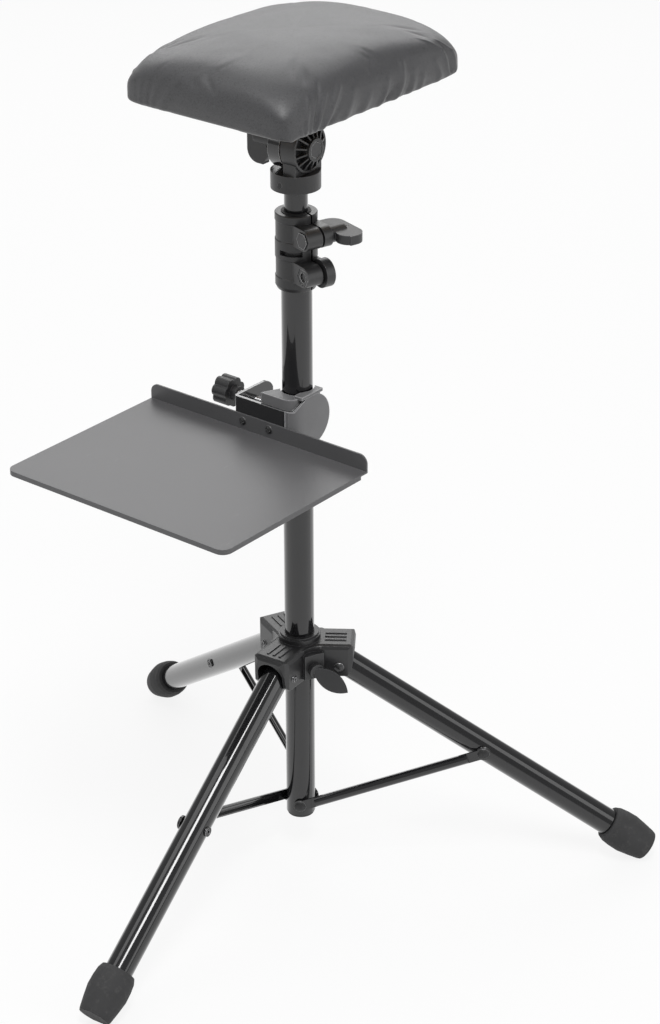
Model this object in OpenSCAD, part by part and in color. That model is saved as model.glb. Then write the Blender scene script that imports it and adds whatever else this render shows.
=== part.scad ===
// Height-adjustable arm rest stand: folding three-leg base with a sliding hub, mast and
// inner post, clamp collar, tilting head with a padded rest, and a tray on a tube clamp.
// Millimetres, Z up, origin on the mast axis at the floor, X along the tray's long side.

/* [Mast and post] */
// Outside diameter of the mast tube
mast_d = 26.4; // [25:0.2:28]
// Wall of the mast tube
mast_wall = 1.2; // [0.8:0.1:1.6]
// Height of the mast tube's lower end above the floor
mast_bottom_z = 43; // [38:1:48]
// Length of the mast tube
mast_len = 545; // [520:5:640]
// Outside diameter of the inner post
post_d = 20; // [18:0.2:20.4]
// Wall of the inner post
post_wall = 1.2; // [0.8:0.1:1.6]
// Length of the inner post
post_len = 470; // [440:5:500]
// Length of post that shows between the collar and the head
post_show = 21; // [19:1:60]

/* [Base] */
// Distance of the leg pivots from the mast axis
pivot_r = 36; // [35:0.5:40]
// Height of the leg pivots with the base open
pivot_z = 204; // [190:1:215]
// Leg length from its pivot to the end of its foot
leg_len = 343; // [330:1:370]
// Outside diameter of a leg tube
leg_d = 24.6; // [22:0.2:25]
// Wall of a leg tube
leg_wall = 1.2; // [0.8:0.1:1.6]
// Distance along a leg from its pivot to its brace rivet
brace_on_leg = 158; // [150:1:170]
// Height of the brace pivots on the mast
brace_z = 54; // [52:1:58]
// Direction of the leg named b, measured from the tray's long side
leg_turn = 36; // [30:1:42]
// Height of a foot that the floor cuts flat
foot_sink = 1.2; // [0.6:0.1:2]
// Length of a rubber foot
foot_len = 43.5; // [38:0.5:50]
// Largest diameter of a rubber foot
foot_d = 36.6; // [34:0.2:40]

/* [Hub] */
// Width of a hub arm
arm_w = 35.2; // [34:0.2:38]
// Reach of a hub arm from the mast axis
arm_reach = 50; // [48:0.5:54]
// Depth of a hub arm below the leg pivot
arm_below = 9; // [8:0.5:12]
// Height of a hub arm above the leg pivot
arm_above = 21.5; // [21:0.5:26]
// Diameter of the hub's top ring
hub_ring_d = 37.6; // [36:0.2:40]
// Height of the hub's top ring above the arms
hub_ring_h = 6; // [4:0.5:9]
// Length of the wing screw's leaf
leaf_len = 38; // [30:1:42]

/* [Collar] */
// Outside diameter of the collar
collar_d = 34.6; // [34:0.2:38]
// Height of the collar
collar_h = 67; // [64:1:76]
// Depth of the mast tube's seat in the collar
collar_seat = 26; // [24:0.5:28]
// Direction of the collar's lugs, measured from the tray's long side
lug_turn = -17; // [-25:1:-10]
// Distance of the collar's bolts from the mast axis
lug_r = 27; // [26:0.5:29]
// Half length of a T knob's bar
bar_reach = 23; // [18:0.5:26]
// Depth of a T knob's bar
bar_depth = 17; // [14:0.5:19]

/* [Head] */
// Diameter of the head socket
socket_d = 42; // [40:0.5:46]
// Height of the head socket
socket_h = 15; // [14:0.5:16]
// Height of the tilt axis above the head's lower face
tilt_rise = 36; // [35.5:0.5:40]
// Diameter of the tilt joint's discs
disc_d = 41; // [38:0.5:42]
// Height of the rest above the tilt axis
rest_rise = 47; // [44:0.5:52]

/* [Rest] */
// Width of the padded rest
pad_w = 175; // [160:1:190]
// Length of the padded rest
pad_l = 234; // [210:1:250]
// Height of the padded rest at its crown
pad_h = 52; // [48:1:60]
// Fall of the crown from its middle to the short edges
crown_fall = 7.5; // [5:0.5:10]
// Thickness of the cover
cover_t = 1.2; // [0.8:0.1:1.8]
// Thickness of the base board
board_t = 9; // [6:0.5:12]

/* [Tray] */
// Length of the tray, along the flange
tray_w = 240; // [200:1:300]
// Depth of the tray, from the flange to its front edge
tray_d = 183.5; // [140:0.5:220]
// Height of the tray's top face above the floor
tray_z = 429; // [420:1:445]
// Sideways place of the tray's middle from the mast axis
tray_shift = -22.7; // [-30:0.1:-15]
// Thickness of the tray's sheet
sheet_t = 1.5; // [1:0.1:2]
// Height of the rear flange above the tray's top face
flange_h = 14.5; // [13:0.5:18]
// Height of the tray's down-turned rim
rim_h = 4.5; // [3:0.5:8]
// Thickness of the clamp bracket's strap
strap_t = 2.5; // [2:0.1:3]
// Width of the clamp bracket from arm to arm
bracket_w = 65.5; // [62:0.5:72]
// Thread diameter of the clamp screw
screw_d = 8; // [7:0.5:9]

/* [Hidden] */
$fn = 96;

// Clearances: running fit, gap between solids that only touch, cut overrun
fit = 0.05;
gap = 0.3;
over = 1;

mast_r = mast_d / 2;
mast_top_z = mast_bottom_z + mast_len;
post_r = post_d / 2;
leg_r = leg_d / 2;

// Open and folded leg angles from the vertical, with the foot's lower corner cut by the floor
foot_end_r = 14;
foot_rim_r = 13.8;
foot_seat = 8;
foot_upper_shares = [[0, 0.35], [0.1, 0.75], [0.27, 0.95], [0.48, 1]];
foot_lower_shares = [[0.72, 0.62], [0.94, 0.2], [1, 0]];
leg_lean = atan(foot_end_r / leg_len)
    + acos((pivot_z + foot_sink) / sqrt(leg_len * leg_len + foot_end_r * foot_end_r));
rivet_r = pivot_r + brace_on_leg * sin(leg_lean);
rivet_z = pivot_z - brace_on_leg * cos(leg_lean);
brace_len = sqrt(pow(rivet_r, 2) + pow(rivet_z - brace_z, 2));
brace_rise = atan2(rivet_z - brace_z, rivet_r);
leg_step = 120;
function leg_az(i) = leg_turn + (i - 1) * leg_step;

// Brace section and rivets
brace_room = 0.4;
brace_off = mast_r + brace_room;
brace_t = 1.4;
brace_tab_r = 6.5;
brace_bar_r = 5;
brace_tab_len = 15;
rivet_shank_r = 3;
rivet_head_r = 5.6;
rivet_head_h = 2.4;
tail_r = 4.4;
tail_h = 1.5;
tail_bore_r = 1.7;
mast_plug_depth = 28;
mast_plug_lip = 2.5;
mast_rivet_end = 6;

// Hub
cheek_room = 1.2;
cheek_slot = leg_d + cheek_room;
leg_inner = 12;
swing_room = 0.6;
swing_r = sqrt(leg_inner * leg_inner + leg_r * leg_r) + swing_room;
swing_out = 10;
arch_room = 1;
arch_r = leg_r + arch_room;
arch_up = 15.2;
hub_bottom_z = pivot_z - arm_below;
hub_top_z = pivot_z + arm_above;
hub_bore_r = mast_r + fit;
sleeve_wall = 4.6;
sleeve_drop = 1.5;
web_fillet = 14;
web_depth = 8;
web_drop = 1;
web_bite = 0.2;
web_half = 10;
arm_lean = 3;
arm_chamfer = 4;
arm_round = 4;
arm_break = 6;
corner_share = 0.3;
ring_lip = 1.6;
rib_w = 2;
rib_h = 0.9;
rib_pitch = 6;
rib_inset = 4;
rib_share = 0.62;
pin_r = 3;
pin_head_r = 3.6;
pin_head_h = 2.2;
pin_drive_r = 2.2;
nut_dome_r = 4.5;
boss_turn = -60;
boss_w = 19;
boss_out = 29;
boss_up = 2;
boss_z = pivot_z + boss_up;
insert_r = 4.6;
insert_len = 7;
stud_r = 3;
brake_r = 5;
brake_t = 2.4;
leaf_w = 17;
leaf_t = 3.6;
leaf_hub_r = 6.5;
leaf_hub_h = 5;
leaf_drop = 41;
leaf_slant = 25;

plug_below = 26;

// Collar
collar_r = collar_d / 2;
collar_bottom_z = mast_top_z - collar_seat;
collar_top_z = collar_bottom_z + collar_h;
collar_shoulder = 2;
rim_grow = 0.6;
top_rim_h = 6.5;
low_rim_h = 11;
low_chamfer = 3.2;
band_low = 28;
band_high = 43.5;
window_low = 32;
window_high = 36.5;
window_from_turn = -101;
window_to_turn = -34;
window_deep = 4;
bush_r = 12.6;
bush_slit = 1.6;
upper_bolt_up = 51;
lower_bolt_up = 18.6;
lug_half = 9;
lug_front = -12;
lug_rear_to = 13;
slit_from = 2.6;
slit_to = 4.6;
pinch_lug_r = 12.2;
bolt_r = 4;
bolt_af = 13;
bolt_head_h = 5;
recess_deep = 4;
recess_gap = 0.4;
bolt_stem = 20;
pinch_head_r = 6.4;
pinch_head_h = 3;
knob_boss_r = 7;
knob_boss_h = 7;
bar_t = 8;
bar_round = 11;
lug_fix_share = 0.55;

// Head
head_z = collar_top_z + post_show;
tilt_z = head_z + tilt_rise;
rest_z = tilt_z + rest_rise;
disc_r = disc_d / 2;
washer_t = 1.2;
washer_gap = 0.1;
disc_in = washer_t / 2;
bracket_disc_t = 12.4;
socket_disc_t = 13.4;
boss_face = 22;
hub_ring_r = 9.7;
spoke_count = 14;
spoke_t = 1.4;
rim_wall = 2;
cheek_half = 17;
post_seat = 13;
tilt_bore_r = 4;
tilt_head_h = 5;
tilt_boss_h = 18;
tilt_stem = 14;
socket_pin_r = 2.5;
plate_w = 74;
plate_l = 92;
plate_t = 4;
plate_round = 8;
neck_w = 26;
rib_plate_t = 4;
rib_plate_h = 9;
wood_screw_r = 2;
wood_head_r = 4;
wood_head_h = 2.2;
wood_screw_len = 11;
wood_x = 28;
wood_y = 36;

knob_x = disc_in + washer_gap + bracket_disc_t + gap;
guide_len = 25;
guide_spigot = 15;
post_bottom_z = head_z + post_seat - post_len;

// Rest
board_inset = 10;
board_round = 16;
pad_round = 15;
shoulder_r = 22;
shoulder_out = 0.6;
shoulder_rise = 0.5;
lip_share = 0.8;
foam_gap = 0.3;
ball_steps = 200;
crown_ball_r = pad_l * pad_l / (8 * crown_fall) + crown_fall / 2;

// Tray and clamp
sleeve_t = 1.2;
sleeve_h = 40;
sleeve_r = mast_r + fit + sleeve_t;
clamp_up = 15;
clamp_z = tray_z + clamp_up;
bracket_right = 17.5;
bracket_left = bracket_right - bracket_w;
bracket_front = 27.5;
plate_low = 13;
plate_high = 14;
arm_end_r = 22.5;
arm_end_y = -4;
arm_end_up = 1;
arm_back = 22;
arm_corner = 14;
cheek_t = 1.8;
cheek_bite = 1;
bend_left = 3;
bend_right = 13;
tray_round = 9;
flange_round = 8;
flange_screw_gap = 29;
flange_screw_up = 8;
m4_r = 2;
m4_head_r = 3.9;
m4_head_h = 1.8;
m4_nut_af = 7;
m4_nut_h = 3;
cradle_left = 21;
cradle_wing = 12;
cradle_back = 12;
cradle_low = 20;
cradle_lip_h = 2.8;
cradle_lip_out = 2;
cradle_lip_l = 28;
weld_nut_af = 13;
weld_nut_t = 5.5;
foot_back = 26;
foot_pad_r = 9;
foot_pad_bore = 5;
foot_neck_r = 6;
screw_back = 79;
knob_back = 86;
knob_star_t = 15;
knob_neck_l = 6;
knob_neck_r = 7;
knob_core_r = 11.5;
knob_lobe_r = 5.2;
knob_lobe_at = 8.2;
knob_lobes = 7;
recess_t = 2;
recess_r = 7.6;

// A ring of rectangular section
module tube(r_out, r_in, h) {
    difference() {
        cylinder(r = r_out, h = h);
        translate([0, 0, -over])
            cylinder(r = r_in, h = h + 2 * over);
    }
}

// A hexagonal prism by its width across flats
module hex_bar(af, h) {
    cylinder(r = af / sqrt(3), h = h, $fn = 6);
}

// A low domed head standing on z = 0
module dome(r, h) {
    ball = (r * r + h * h) / (2 * h);
    intersection() {
        translate([0, 0, h - ball])
            sphere(r = ball);
        cylinder(r = r, h = h);
    }
}

// A rectangle with round corners, centred
module round_rect(w, l, r) {
    square([w - 2 * r, l], center = true);
    square([w, l - 2 * r], center = true);
    for (sx = [-1, 1], sy = [-1, 1])
        translate([sx * (w / 2 - r), sy * (l / 2 - r)])
            circle(r = r);
}

// Turns to the plane of leg i: X outward, Y to the left of outward
module at_leg(i) {
    rotate([0, 0, leg_az(i)])
        children();
}

// The leg's own frame: Z runs from the pivot to the foot
module leg_frame(i) {
    at_leg(i)
        translate([pivot_r, 0, pivot_z])
            rotate([0, 180 - leg_lean, 0])
                children();
}

// The brace's own frame: X runs from the mast pivot to the leg rivet, tabs lie at -Y
module brace_frame(i) {
    at_leg(i)
        translate([0, 0, brace_z])
            rotate([0, -brace_rise, 0])
                children();
}

module mast_tube() {
    color([0.10, 0.10, 0.11])
    difference() {
        translate([0, 0, mast_bottom_z])
            tube(mast_r, mast_r - mast_wall, mast_len);
        for (i = [0:2])
            at_leg(i)
                translate([0, 0, brace_z])
                    rotate([90, 0, 0])
                        cylinder(r = rivet_shank_r + fit, h = mast_d);
    }
}

// Closes the mast's lower end and holds the brace rivets
module mast_plug() {
    color([0.13, 0.13, 0.13])
    difference() {
        union() {
            translate([0, 0, mast_bottom_z - mast_plug_lip])
                cylinder(r1 = mast_r - mast_wall, r2 = mast_r, h = mast_plug_lip);
            translate([0, 0, mast_bottom_z])
                cylinder(r = mast_r - mast_wall - fit, h = mast_plug_depth);
        }
        for (i = [0:2])
            at_leg(i)
                translate([0, -mast_rivet_end, brace_z])
                    rotate([90, 0, 0])
                        cylinder(r = rivet_shank_r, h = mast_d);
    }
}

module brace_mast_rivets() {
    color([0.16, 0.16, 0.17])
    for (i = [0:2])
        at_leg(i)
            translate([0, -mast_rivet_end, brace_z])
                rotate([90, 0, 0]) {
                    cylinder(r = rivet_shank_r, h = brace_off + brace_t + fit - mast_rivet_end);
                    translate([0, 0, brace_off + brace_t + fit - mast_rivet_end])
                        dome(rivet_head_r, rivet_head_h);
                }
}

// The collar's own lug frame: Z along the bolts, X outward along the lugs
module lug_frame(up) {
    translate([0, 0, collar_bottom_z + up])
        rotate([0, 0, lug_turn])
            translate([lug_r, 0, 0])
                rotate([-90, 0, 0])
                    children();
}

// A pair of clamp lugs from the collar's wall out round the bolt
module lug_pair(rear_r) {
    translate([-lug_r * lug_fix_share, -lug_half, lug_front])
        cube([lug_r * lug_fix_share, 2 * lug_half, slit_from - lug_front]);
    translate([0, 0, lug_front])
        cylinder(r = lug_half, h = slit_from - lug_front);
    translate([-lug_r * lug_fix_share, -lug_half, slit_to])
        cube([lug_r * lug_fix_share, 2 * lug_half, lug_rear_to - slit_to]);
    translate([0, 0, slit_to])
        cylinder(r = rear_r, h = lug_rear_to - slit_to);
}

module collar_shell() {
    rotate_extrude()
        polygon([
            [0, collar_bottom_z],
            [collar_r + rim_grow - low_chamfer / 2, collar_bottom_z],
            [collar_r + rim_grow, collar_bottom_z + low_chamfer],
            [collar_r + rim_grow, collar_bottom_z + low_rim_h],
            [collar_r, collar_bottom_z + low_rim_h + rim_grow],
            [collar_r, collar_bottom_z + band_low - rim_grow],
            [collar_r + rim_grow, collar_bottom_z + band_low],
            [collar_r + rim_grow, collar_bottom_z + band_high],
            [collar_r, collar_bottom_z + band_high + rim_grow],
            [collar_r, collar_top_z - top_rim_h - rim_grow],
            [collar_r + rim_grow, collar_top_z - top_rim_h],
            [collar_r + rim_grow, collar_top_z - rim_grow],
            [collar_r, collar_top_z],
            [0, collar_top_z]
        ]);
}

// The moulded slot in the collar's middle band
module collar_window() {
    translate([0, 0, collar_bottom_z + window_low])
        intersection() {
            difference() {
                cylinder(r = collar_r + rim_grow + over, h = window_high - window_low);
                translate([0, 0, -over])
                    cylinder(r = collar_r + rim_grow - window_deep, h = 2 * over
                        + window_high - window_low);
            }
            rotate([0, 0, window_from_turn])
                rotate_extrude(angle = window_to_turn - window_from_turn)
                    square([2 * collar_d, window_high - window_low]);
        }
}

module collar_body() {
    color([0.12, 0.12, 0.13])
    difference() {
        union() {
            collar_shell();
            lug_frame(upper_bolt_up)
                lug_pair(lug_half);
            lug_frame(lower_bolt_up)
                lug_pair(pinch_lug_r);
        }
        translate([0, 0, collar_bottom_z - over])
            cylinder(r = mast_r + fit, h = collar_seat + over);
        translate([0, 0, collar_bottom_z])
            cylinder(r = post_r + 2 * gap, h = collar_h + over);
        translate([0, 0, mast_top_z + collar_shoulder])
            cylinder(r = bush_r + fit, h = collar_h);
        rotate([0, 0, lug_turn])
            translate([post_r, slit_from, collar_bottom_z - over])
                cube([2 * lug_r, slit_to - slit_from, collar_h + 2 * over]);
        collar_window();
        for (up = [upper_bolt_up, lower_bolt_up])
            lug_frame(up) {
                translate([0, 0, lug_front - over])
                    cylinder(r = bolt_r + fit, h = lug_rear_to - lug_front + 2 * over);
                translate([0, 0, lug_front - over])
                    hex_bar(bolt_af + recess_gap, recess_deep + over);
            }
        lug_frame(lower_bolt_up)
            translate([0, 0, lug_rear_to - pinch_head_h])
                cylinder(r = pinch_head_r + fit, h = pinch_head_h + over);
    }
}

// Split plastic bush that the collar squeezes onto the inner post
module post_bush() {
    color([0.05, 0.05, 0.05])
    translate([0, 0, mast_top_z + collar_shoulder])
        difference() {
            tube(bush_r, post_r + fit, collar_top_z - mast_top_z - collar_shoulder + rim_grow);
            rotate([0, 0, lug_turn])
                translate([0, (slit_from + slit_to - bush_slit) / 2, -over])
                    cube([collar_d, bush_slit, collar_h]);
        }
}

module collar_hex_bolt() {
    color([0.22, 0.22, 0.23])
    lug_frame(upper_bolt_up) {
        translate([0, 0, lug_front + recess_deep - bolt_head_h])
            hex_bar(bolt_af, bolt_head_h);
        translate([0, 0, lug_front + recess_deep])
            cylinder(r = bolt_r, h = lug_rear_to - lug_front - recess_deep + bolt_stem);
    }
}

// Moulded T knob: a round boss on the screw and a bar across its end
module t_knob(boss_h, stem) {
    difference() {
        union() {
            cylinder(r = knob_boss_r, h = boss_h + bar_depth / 2);
            translate([0, 0, boss_h])
                rotate([90, 0, 0])
                    linear_extrude(height = bar_t, center = true)
                        t_bar_outline();
        }
        translate([0, 0, -over])
            cylinder(r = bolt_r + fit, h = stem + gap + over);
    }
}

module t_bar_outline() {
    translate([-bar_reach, 0])
        square([2 * bar_reach, bar_depth - bar_round]);
    translate([bar_round - bar_reach, 0])
        square([2 * (bar_reach - bar_round), bar_depth]);
    for (s = [-1, 1])
        translate([s * (bar_reach - bar_round), bar_depth - bar_round])
            circle(r = bar_round);
}

module collar_knob() {
    color([0.15, 0.15, 0.16])
    lug_frame(upper_bolt_up)
        translate([0, 0, lug_rear_to + gap])
            t_knob(knob_boss_h, bolt_stem - gap);
}

module collar_pinch_bolt() {
    color([0.22, 0.22, 0.23])
    lug_frame(lower_bolt_up) {
        translate([0, 0, lug_front + recess_deep - bolt_head_h / 2])
            cylinder(r = bolt_r, h = lug_rear_to - lug_front - recess_deep + bolt_head_h / 2);
        translate([0, 0, lug_rear_to - pinch_head_h])
            cylinder(r = pinch_head_r, h = pinch_head_h);
    }
}

module collar_pinch_nut() {
    color([0.25, 0.25, 0.26])
    lug_frame(lower_bolt_up)
        translate([0, 0, lug_front + gap])
            difference() {
                hex_bar(bolt_af, recess_deep - gap);
                translate([0, 0, -over])
                    cylinder(r = bolt_r + fit, h = recess_deep + 2 * over);
            }
}

// Plastic guide at the post's lower end, running in the mast
module post_guide() {
    color([0.08, 0.08, 0.08])
    translate([0, 0, post_bottom_z - guide_len]) {
        cylinder(r = mast_r - mast_wall - fit, h = guide_len);
        cylinder(r = post_r - post_wall - fit, h = guide_len + guide_spigot);
    }
}

module inner_post() {
    color([0.08, 0.08, 0.09])
    difference() {
        translate([0, 0, post_bottom_z])
            tube(post_r, post_r - post_wall, post_len);
        translate([0, 0, head_z + post_seat / 2])
            rotate([90, 0, 0])
                cylinder(r = socket_pin_r + fit, h = 2 * post_d, center = true);
    }
}

// Spoked half of the tilt joint, with the socket that takes the post
module head_socket() {
    color([0.14, 0.14, 0.15])
    difference() {
        union() {
            translate([0, 0, head_z])
                cylinder(r = socket_d / 2, h = socket_h);
            translate([disc_in, -cheek_half, head_z + socket_h - over])
                cube([socket_disc_t - disc_in, 2 * cheek_half, tilt_rise - socket_h + over]);
            translate([disc_in, 0, tilt_z])
                rotate([0, 90, 0])
                    cylinder(r = disc_r, h = socket_disc_t - disc_in);
            translate([socket_disc_t, 0, tilt_z])
                rotate([0, 90, 0])
                    spoked_face();
        }
        translate([0, 0, head_z - over])
            cylinder(r = post_r + fit, h = post_seat + over);
        translate([0, 0, tilt_z])
            rotate([0, 90, 0]) {
                cylinder(r = tilt_bore_r + fit, h = boss_face + over);
                translate([0, 0, boss_face - tilt_head_h])
                    hex_bar(bolt_af + recess_gap, tilt_head_h + over);
            }
        translate([0, 0, head_z + post_seat / 2])
            rotate([90, 0, 0])
                cylinder(r = socket_pin_r + fit, h = 2 * socket_d, center = true);
    }
}

// Low cone of spokes between the disc's rim and the ring round the bolt
module spoked_face() {
    face_h = boss_face - socket_disc_t;
    cylinder(r = hub_ring_r, h = face_h);
    tube(disc_r, disc_r - rim_wall, rim_wall);
    for (i = [0:spoke_count - 1])
        rotate([0, 0, i * 360 / spoke_count])
            rotate([90, 0, 0])
                linear_extrude(height = spoke_t, center = true)
                    polygon([
                        [hub_ring_r - spoke_t, 0],
                        [disc_r - spoke_t, 0],
                        [disc_r - spoke_t, rim_wall],
                        [hub_ring_r - spoke_t, face_h - spoke_t]
                    ]);
}

module head_post_pin() {
    color([0.3, 0.3, 0.31])
    translate([0, 0, head_z + post_seat / 2])
        rotate([90, 0, 0])
            cylinder(r = socket_pin_r, h = socket_d - gap, center = true);
}

module tilt_bolt() {
    color([0.3, 0.3, 0.31])
    translate([0, 0, tilt_z])
        rotate([0, 90, 0]) {
            translate([0, 0, boss_face - tilt_head_h])
                hex_bar(bolt_af, tilt_head_h - gap);
            translate([0, 0, -knob_x - tilt_stem])
                cylinder(r = tilt_bore_r, h = knob_x + tilt_stem + boss_face - tilt_head_h);
        }
}

module tilt_washer() {
    color([0.35, 0.3, 0.25])
    translate([-disc_in, 0, tilt_z])
        rotate([0, 90, 0])
            tube(disc_r - rim_wall, tilt_bore_r + fit, washer_t);
}

module tilt_knob() {
    color([0.15, 0.15, 0.16])
    translate([-knob_x, 0, tilt_z])
        rotate([0, -90, 0])
            t_knob(tilt_boss_h, tilt_stem);
}

// Half of the tilt joint that carries the rest: disc, neck, ribs and mounting plate
module head_bracket() {
    left = disc_in + washer_gap;
    plate_z = rest_z + cover_t - plate_t;
    color([0.14, 0.14, 0.15])
    difference() {
        union() {
            translate([-left - bracket_disc_t, 0, tilt_z])
                rotate([0, 90, 0])
                    cylinder(r = disc_r, h = bracket_disc_t);
            translate([-left - bracket_disc_t, -neck_w / 2, tilt_z])
                cube([bracket_disc_t, neck_w, plate_z + over - tilt_z]);
            translate([0, 0, plate_z])
                linear_extrude(height = plate_t)
                    round_rect(plate_w, plate_l, plate_round);
            for (s = [-1, 1])
                translate([-left - bracket_disc_t / 2, 0, plate_z - rib_plate_h])
                    rotate([90, 0, 0])
                        translate([0, 0, s * (neck_w - rib_plate_t) / 2])
                            linear_extrude(height = rib_plate_t, center = true)
                                polygon([
                                    [0, 0],
                                    [plate_w / 2, rib_plate_h],
                                    [plate_w / 2, rib_plate_h + plate_t / 2],
                                    [0, rib_plate_h + plate_t / 2]
                                ]);
        }
        translate([-left - bracket_disc_t - over, 0, tilt_z])
            rotate([0, 90, 0])
                cylinder(r = tilt_bore_r + fit, h = bracket_disc_t + 2 * over);
        for (sx = [-1, 1], sy = [-1, 1])
            translate([sx * wood_x, sy * wood_y, plate_z - over])
                cylinder(r = wood_screw_r + fit, h = plate_t + 2 * over);
    }
}

module bracket_screws() {
    plate_z = rest_z + cover_t - plate_t;
    color([0.6, 0.6, 0.6])
    for (sx = [-1, 1], sy = [-1, 1])
        translate([sx * wood_x, sy * wood_y, plate_z]) {
            cylinder(r = wood_screw_r, h = wood_screw_len);
            mirror([0, 0, 1])
                dome(wood_head_r, wood_head_h);
        }
}

module base_board() {
    color([0.72, 0.58, 0.4])
    difference() {
        translate([0, 0, rest_z + cover_t])
            linear_extrude(height = board_t)
                round_rect(pad_w - 2 * board_inset, pad_l - 2 * board_inset, board_round);
        for (sx = [-1, 1], sy = [-1, 1])
            translate([sx * wood_x, sy * wood_y, rest_z])
                cylinder(r = wood_screw_r + fit, h = cover_t - plate_t + wood_screw_len + gap);
    }
}

// Height of the crown above the rest's underside, at a distance from its middle
function crown_at(d) =
    pad_h - crown_ball_r + sqrt(crown_ball_r * crown_ball_r - d * d);

// Side view of the rest's rounded shoulders, left open above for the crown
module shoulder_outline(half, inset) {
    at = half + shoulder_out - shoulder_r;
    up = crown_at(at) + shoulder_rise - shoulder_r;
    reach = half + shoulder_out - inset;
    translate([-at, -over])
        square([2 * at, pad_h + 2 * over]);
    translate([-reach, -over])
        square([2 * reach, up + over]);
    for (s = [-1, 1])
        translate([s * at, up])
            circle(r = shoulder_r - inset);
}

// The rest as one crowned block, drawn in from its surface by an inset
module rest_block(inset) {
    intersection() {
        translate([0, 0, inset])
            linear_extrude(height = pad_h)
                round_rect(pad_w - 2 * inset, pad_l - 2 * inset, pad_round - inset);
        translate([0, 0, pad_h - crown_ball_r])
            sphere(r = crown_ball_r - inset, $fn = ball_steps);
        rotate([90, 0, 0])
            linear_extrude(height = pad_l + 2 * over, center = true)
                shoulder_outline(pad_w / 2, inset);
        rotate([90, 0, 90])
            linear_extrude(height = pad_w + 2 * over, center = true)
                shoulder_outline(pad_l / 2, inset);
    }
}

module pad_foam() {
    low = cover_t + board_t + foam_gap;
    color([0.85, 0.8, 0.6])
    translate([0, 0, rest_z])
        difference() {
            rest_block(cover_t + foam_gap);
            translate([-pad_w, -pad_l, low - pad_h])
                cube([2 * pad_w, 2 * pad_l, pad_h]);
        }
}

// The cover: a crowned shell, open below within its turned-in lip
module pad_cover() {
    color([0.3, 0.3, 0.31])
    translate([0, 0, rest_z])
        difference() {
            rest_block(0);
            rest_block(cover_t);
            translate([0, 0, -over])
                linear_extrude(height = cover_t + 2 * over)
                    round_rect(lip_share * pad_w, lip_share * pad_l, lip_share * pad_round);
        }
}

// Top deck of the hub in plan: the ground between the arms, before its hollows are cut
module hub_deck() {
    half = arm_w / 2;
    touch = (half + web_fillet) / tan(leg_step / 2);
    edge = touch * cos(leg_step / 2) + half * sin(leg_step / 2) + 2 * web_bite;
    for (i = [0:2])
        rotate(leg_az(i) + leg_step / 2)
            polygon([[0, 0], [edge, -web_half], [edge, web_half]]);
}

// Round hollows between the arms
module hub_hollows() {
    web_at = (arm_w / 2 + web_fillet) / sin(leg_step / 2) - web_bite;
    for (i = [0:2])
        rotate([0, 0, leg_az(i) + leg_step / 2])
            translate([web_at, 0, hub_bottom_z - over])
                cylinder(r = web_fillet, h = arm_below + arm_above + 2 * over);
}

// Arch in an arm's end, seen along the arm, with its sides flush with the slot
module arch_outline() {
    intersection() {
        translate([0, arch_up - arch_r])
            circle(r = arch_r);
        translate([-cheek_slot / 2, -over])
            square([cheek_slot, arch_up + 2 * over]);
    }
}

// Hollow that leg i swings in, with its way out below and through the arm's end
module leg_hollow(i) {
    at_leg(i) {
        intersection() {
            translate([pivot_r, cheek_slot / 2, pivot_z])
                rotate([90, 0, 0])
                    cylinder(r = swing_r, h = cheek_slot);
            translate([0, -arm_w / 2, pivot_z - 2 * swing_r])
                cube([pivot_r + swing_out, arm_w, 4 * swing_r]);
        }
        translate([pivot_r - arch_r, -cheek_slot / 2, hub_bottom_z - over])
            cube([arm_reach, cheek_slot, arm_below + over]);
        translate([pivot_r, 0, pivot_z])
            rotate([90, 0, 90])
                linear_extrude(height = arm_reach)
                    arch_outline();
    }
}

// An arm of the hub from the side: sloping end, rounded top edge, raised lower corner
module arm_side() {
    polygon([
        [0, hub_bottom_z],
        [arm_reach - arm_lean - arm_chamfer, hub_bottom_z],
        [arm_reach - arm_lean, hub_bottom_z + arm_chamfer],
        [arm_reach, hub_top_z - arm_chamfer],
        [arm_reach - arm_chamfer * corner_share, hub_top_z - arm_chamfer * corner_share],
        [arm_reach - arm_chamfer, hub_top_z],
        [0, hub_top_z]
    ]);
}

// The same arm from the front, with its top corners broken in two steps
module arm_front() {
    half = arm_w / 2;
    small = arm_round * corner_share;
    polygon([
        [-half, hub_bottom_z - over],
        [half, hub_bottom_z - over],
        [half, hub_top_z - arm_round],
        [half - small, hub_top_z - small],
        [half - arm_round, hub_top_z + fit],
        [arm_round - half, hub_top_z + fit],
        [small - half, hub_top_z - small],
        [-half, hub_top_z - arm_round]
    ]);
}

// The same arm from above, with its outer corners broken in two steps
module arm_plan() {
    half = arm_w / 2;
    small = arm_break * corner_share;
    slip = over * (1 - corner_share) / corner_share;
    polygon([
        [0, -half - over],
        [arm_reach - arm_break - slip, -half - over],
        [arm_reach - small, small - half],
        [arm_reach + over, arm_break + slip - half],
        [arm_reach + over, half - arm_break - slip],
        [arm_reach - small, half - small],
        [arm_reach - arm_break - slip, half + over],
        [0, half + over]
    ]);
}

module hub_arm() {
    intersection() {
        translate([0, 0, hub_bottom_z - over])
            linear_extrude(height = arm_below + arm_above + 2 * over)
                arm_plan();
        rotate([90, 0, 0])
            linear_extrude(height = arm_w + over, center = true)
                arm_side();
        rotate([90, 0, 90])
            linear_extrude(height = arm_reach)
                arm_front();
    }
    for (k = [-1:1])
        translate([hub_ring_d / 2 + rib_inset, k * rib_pitch - rib_w / 2, hub_top_z - rib_h])
            cube([rib_share * (arm_reach - hub_ring_d / 2), rib_w, 2 * rib_h]);
}

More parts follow.
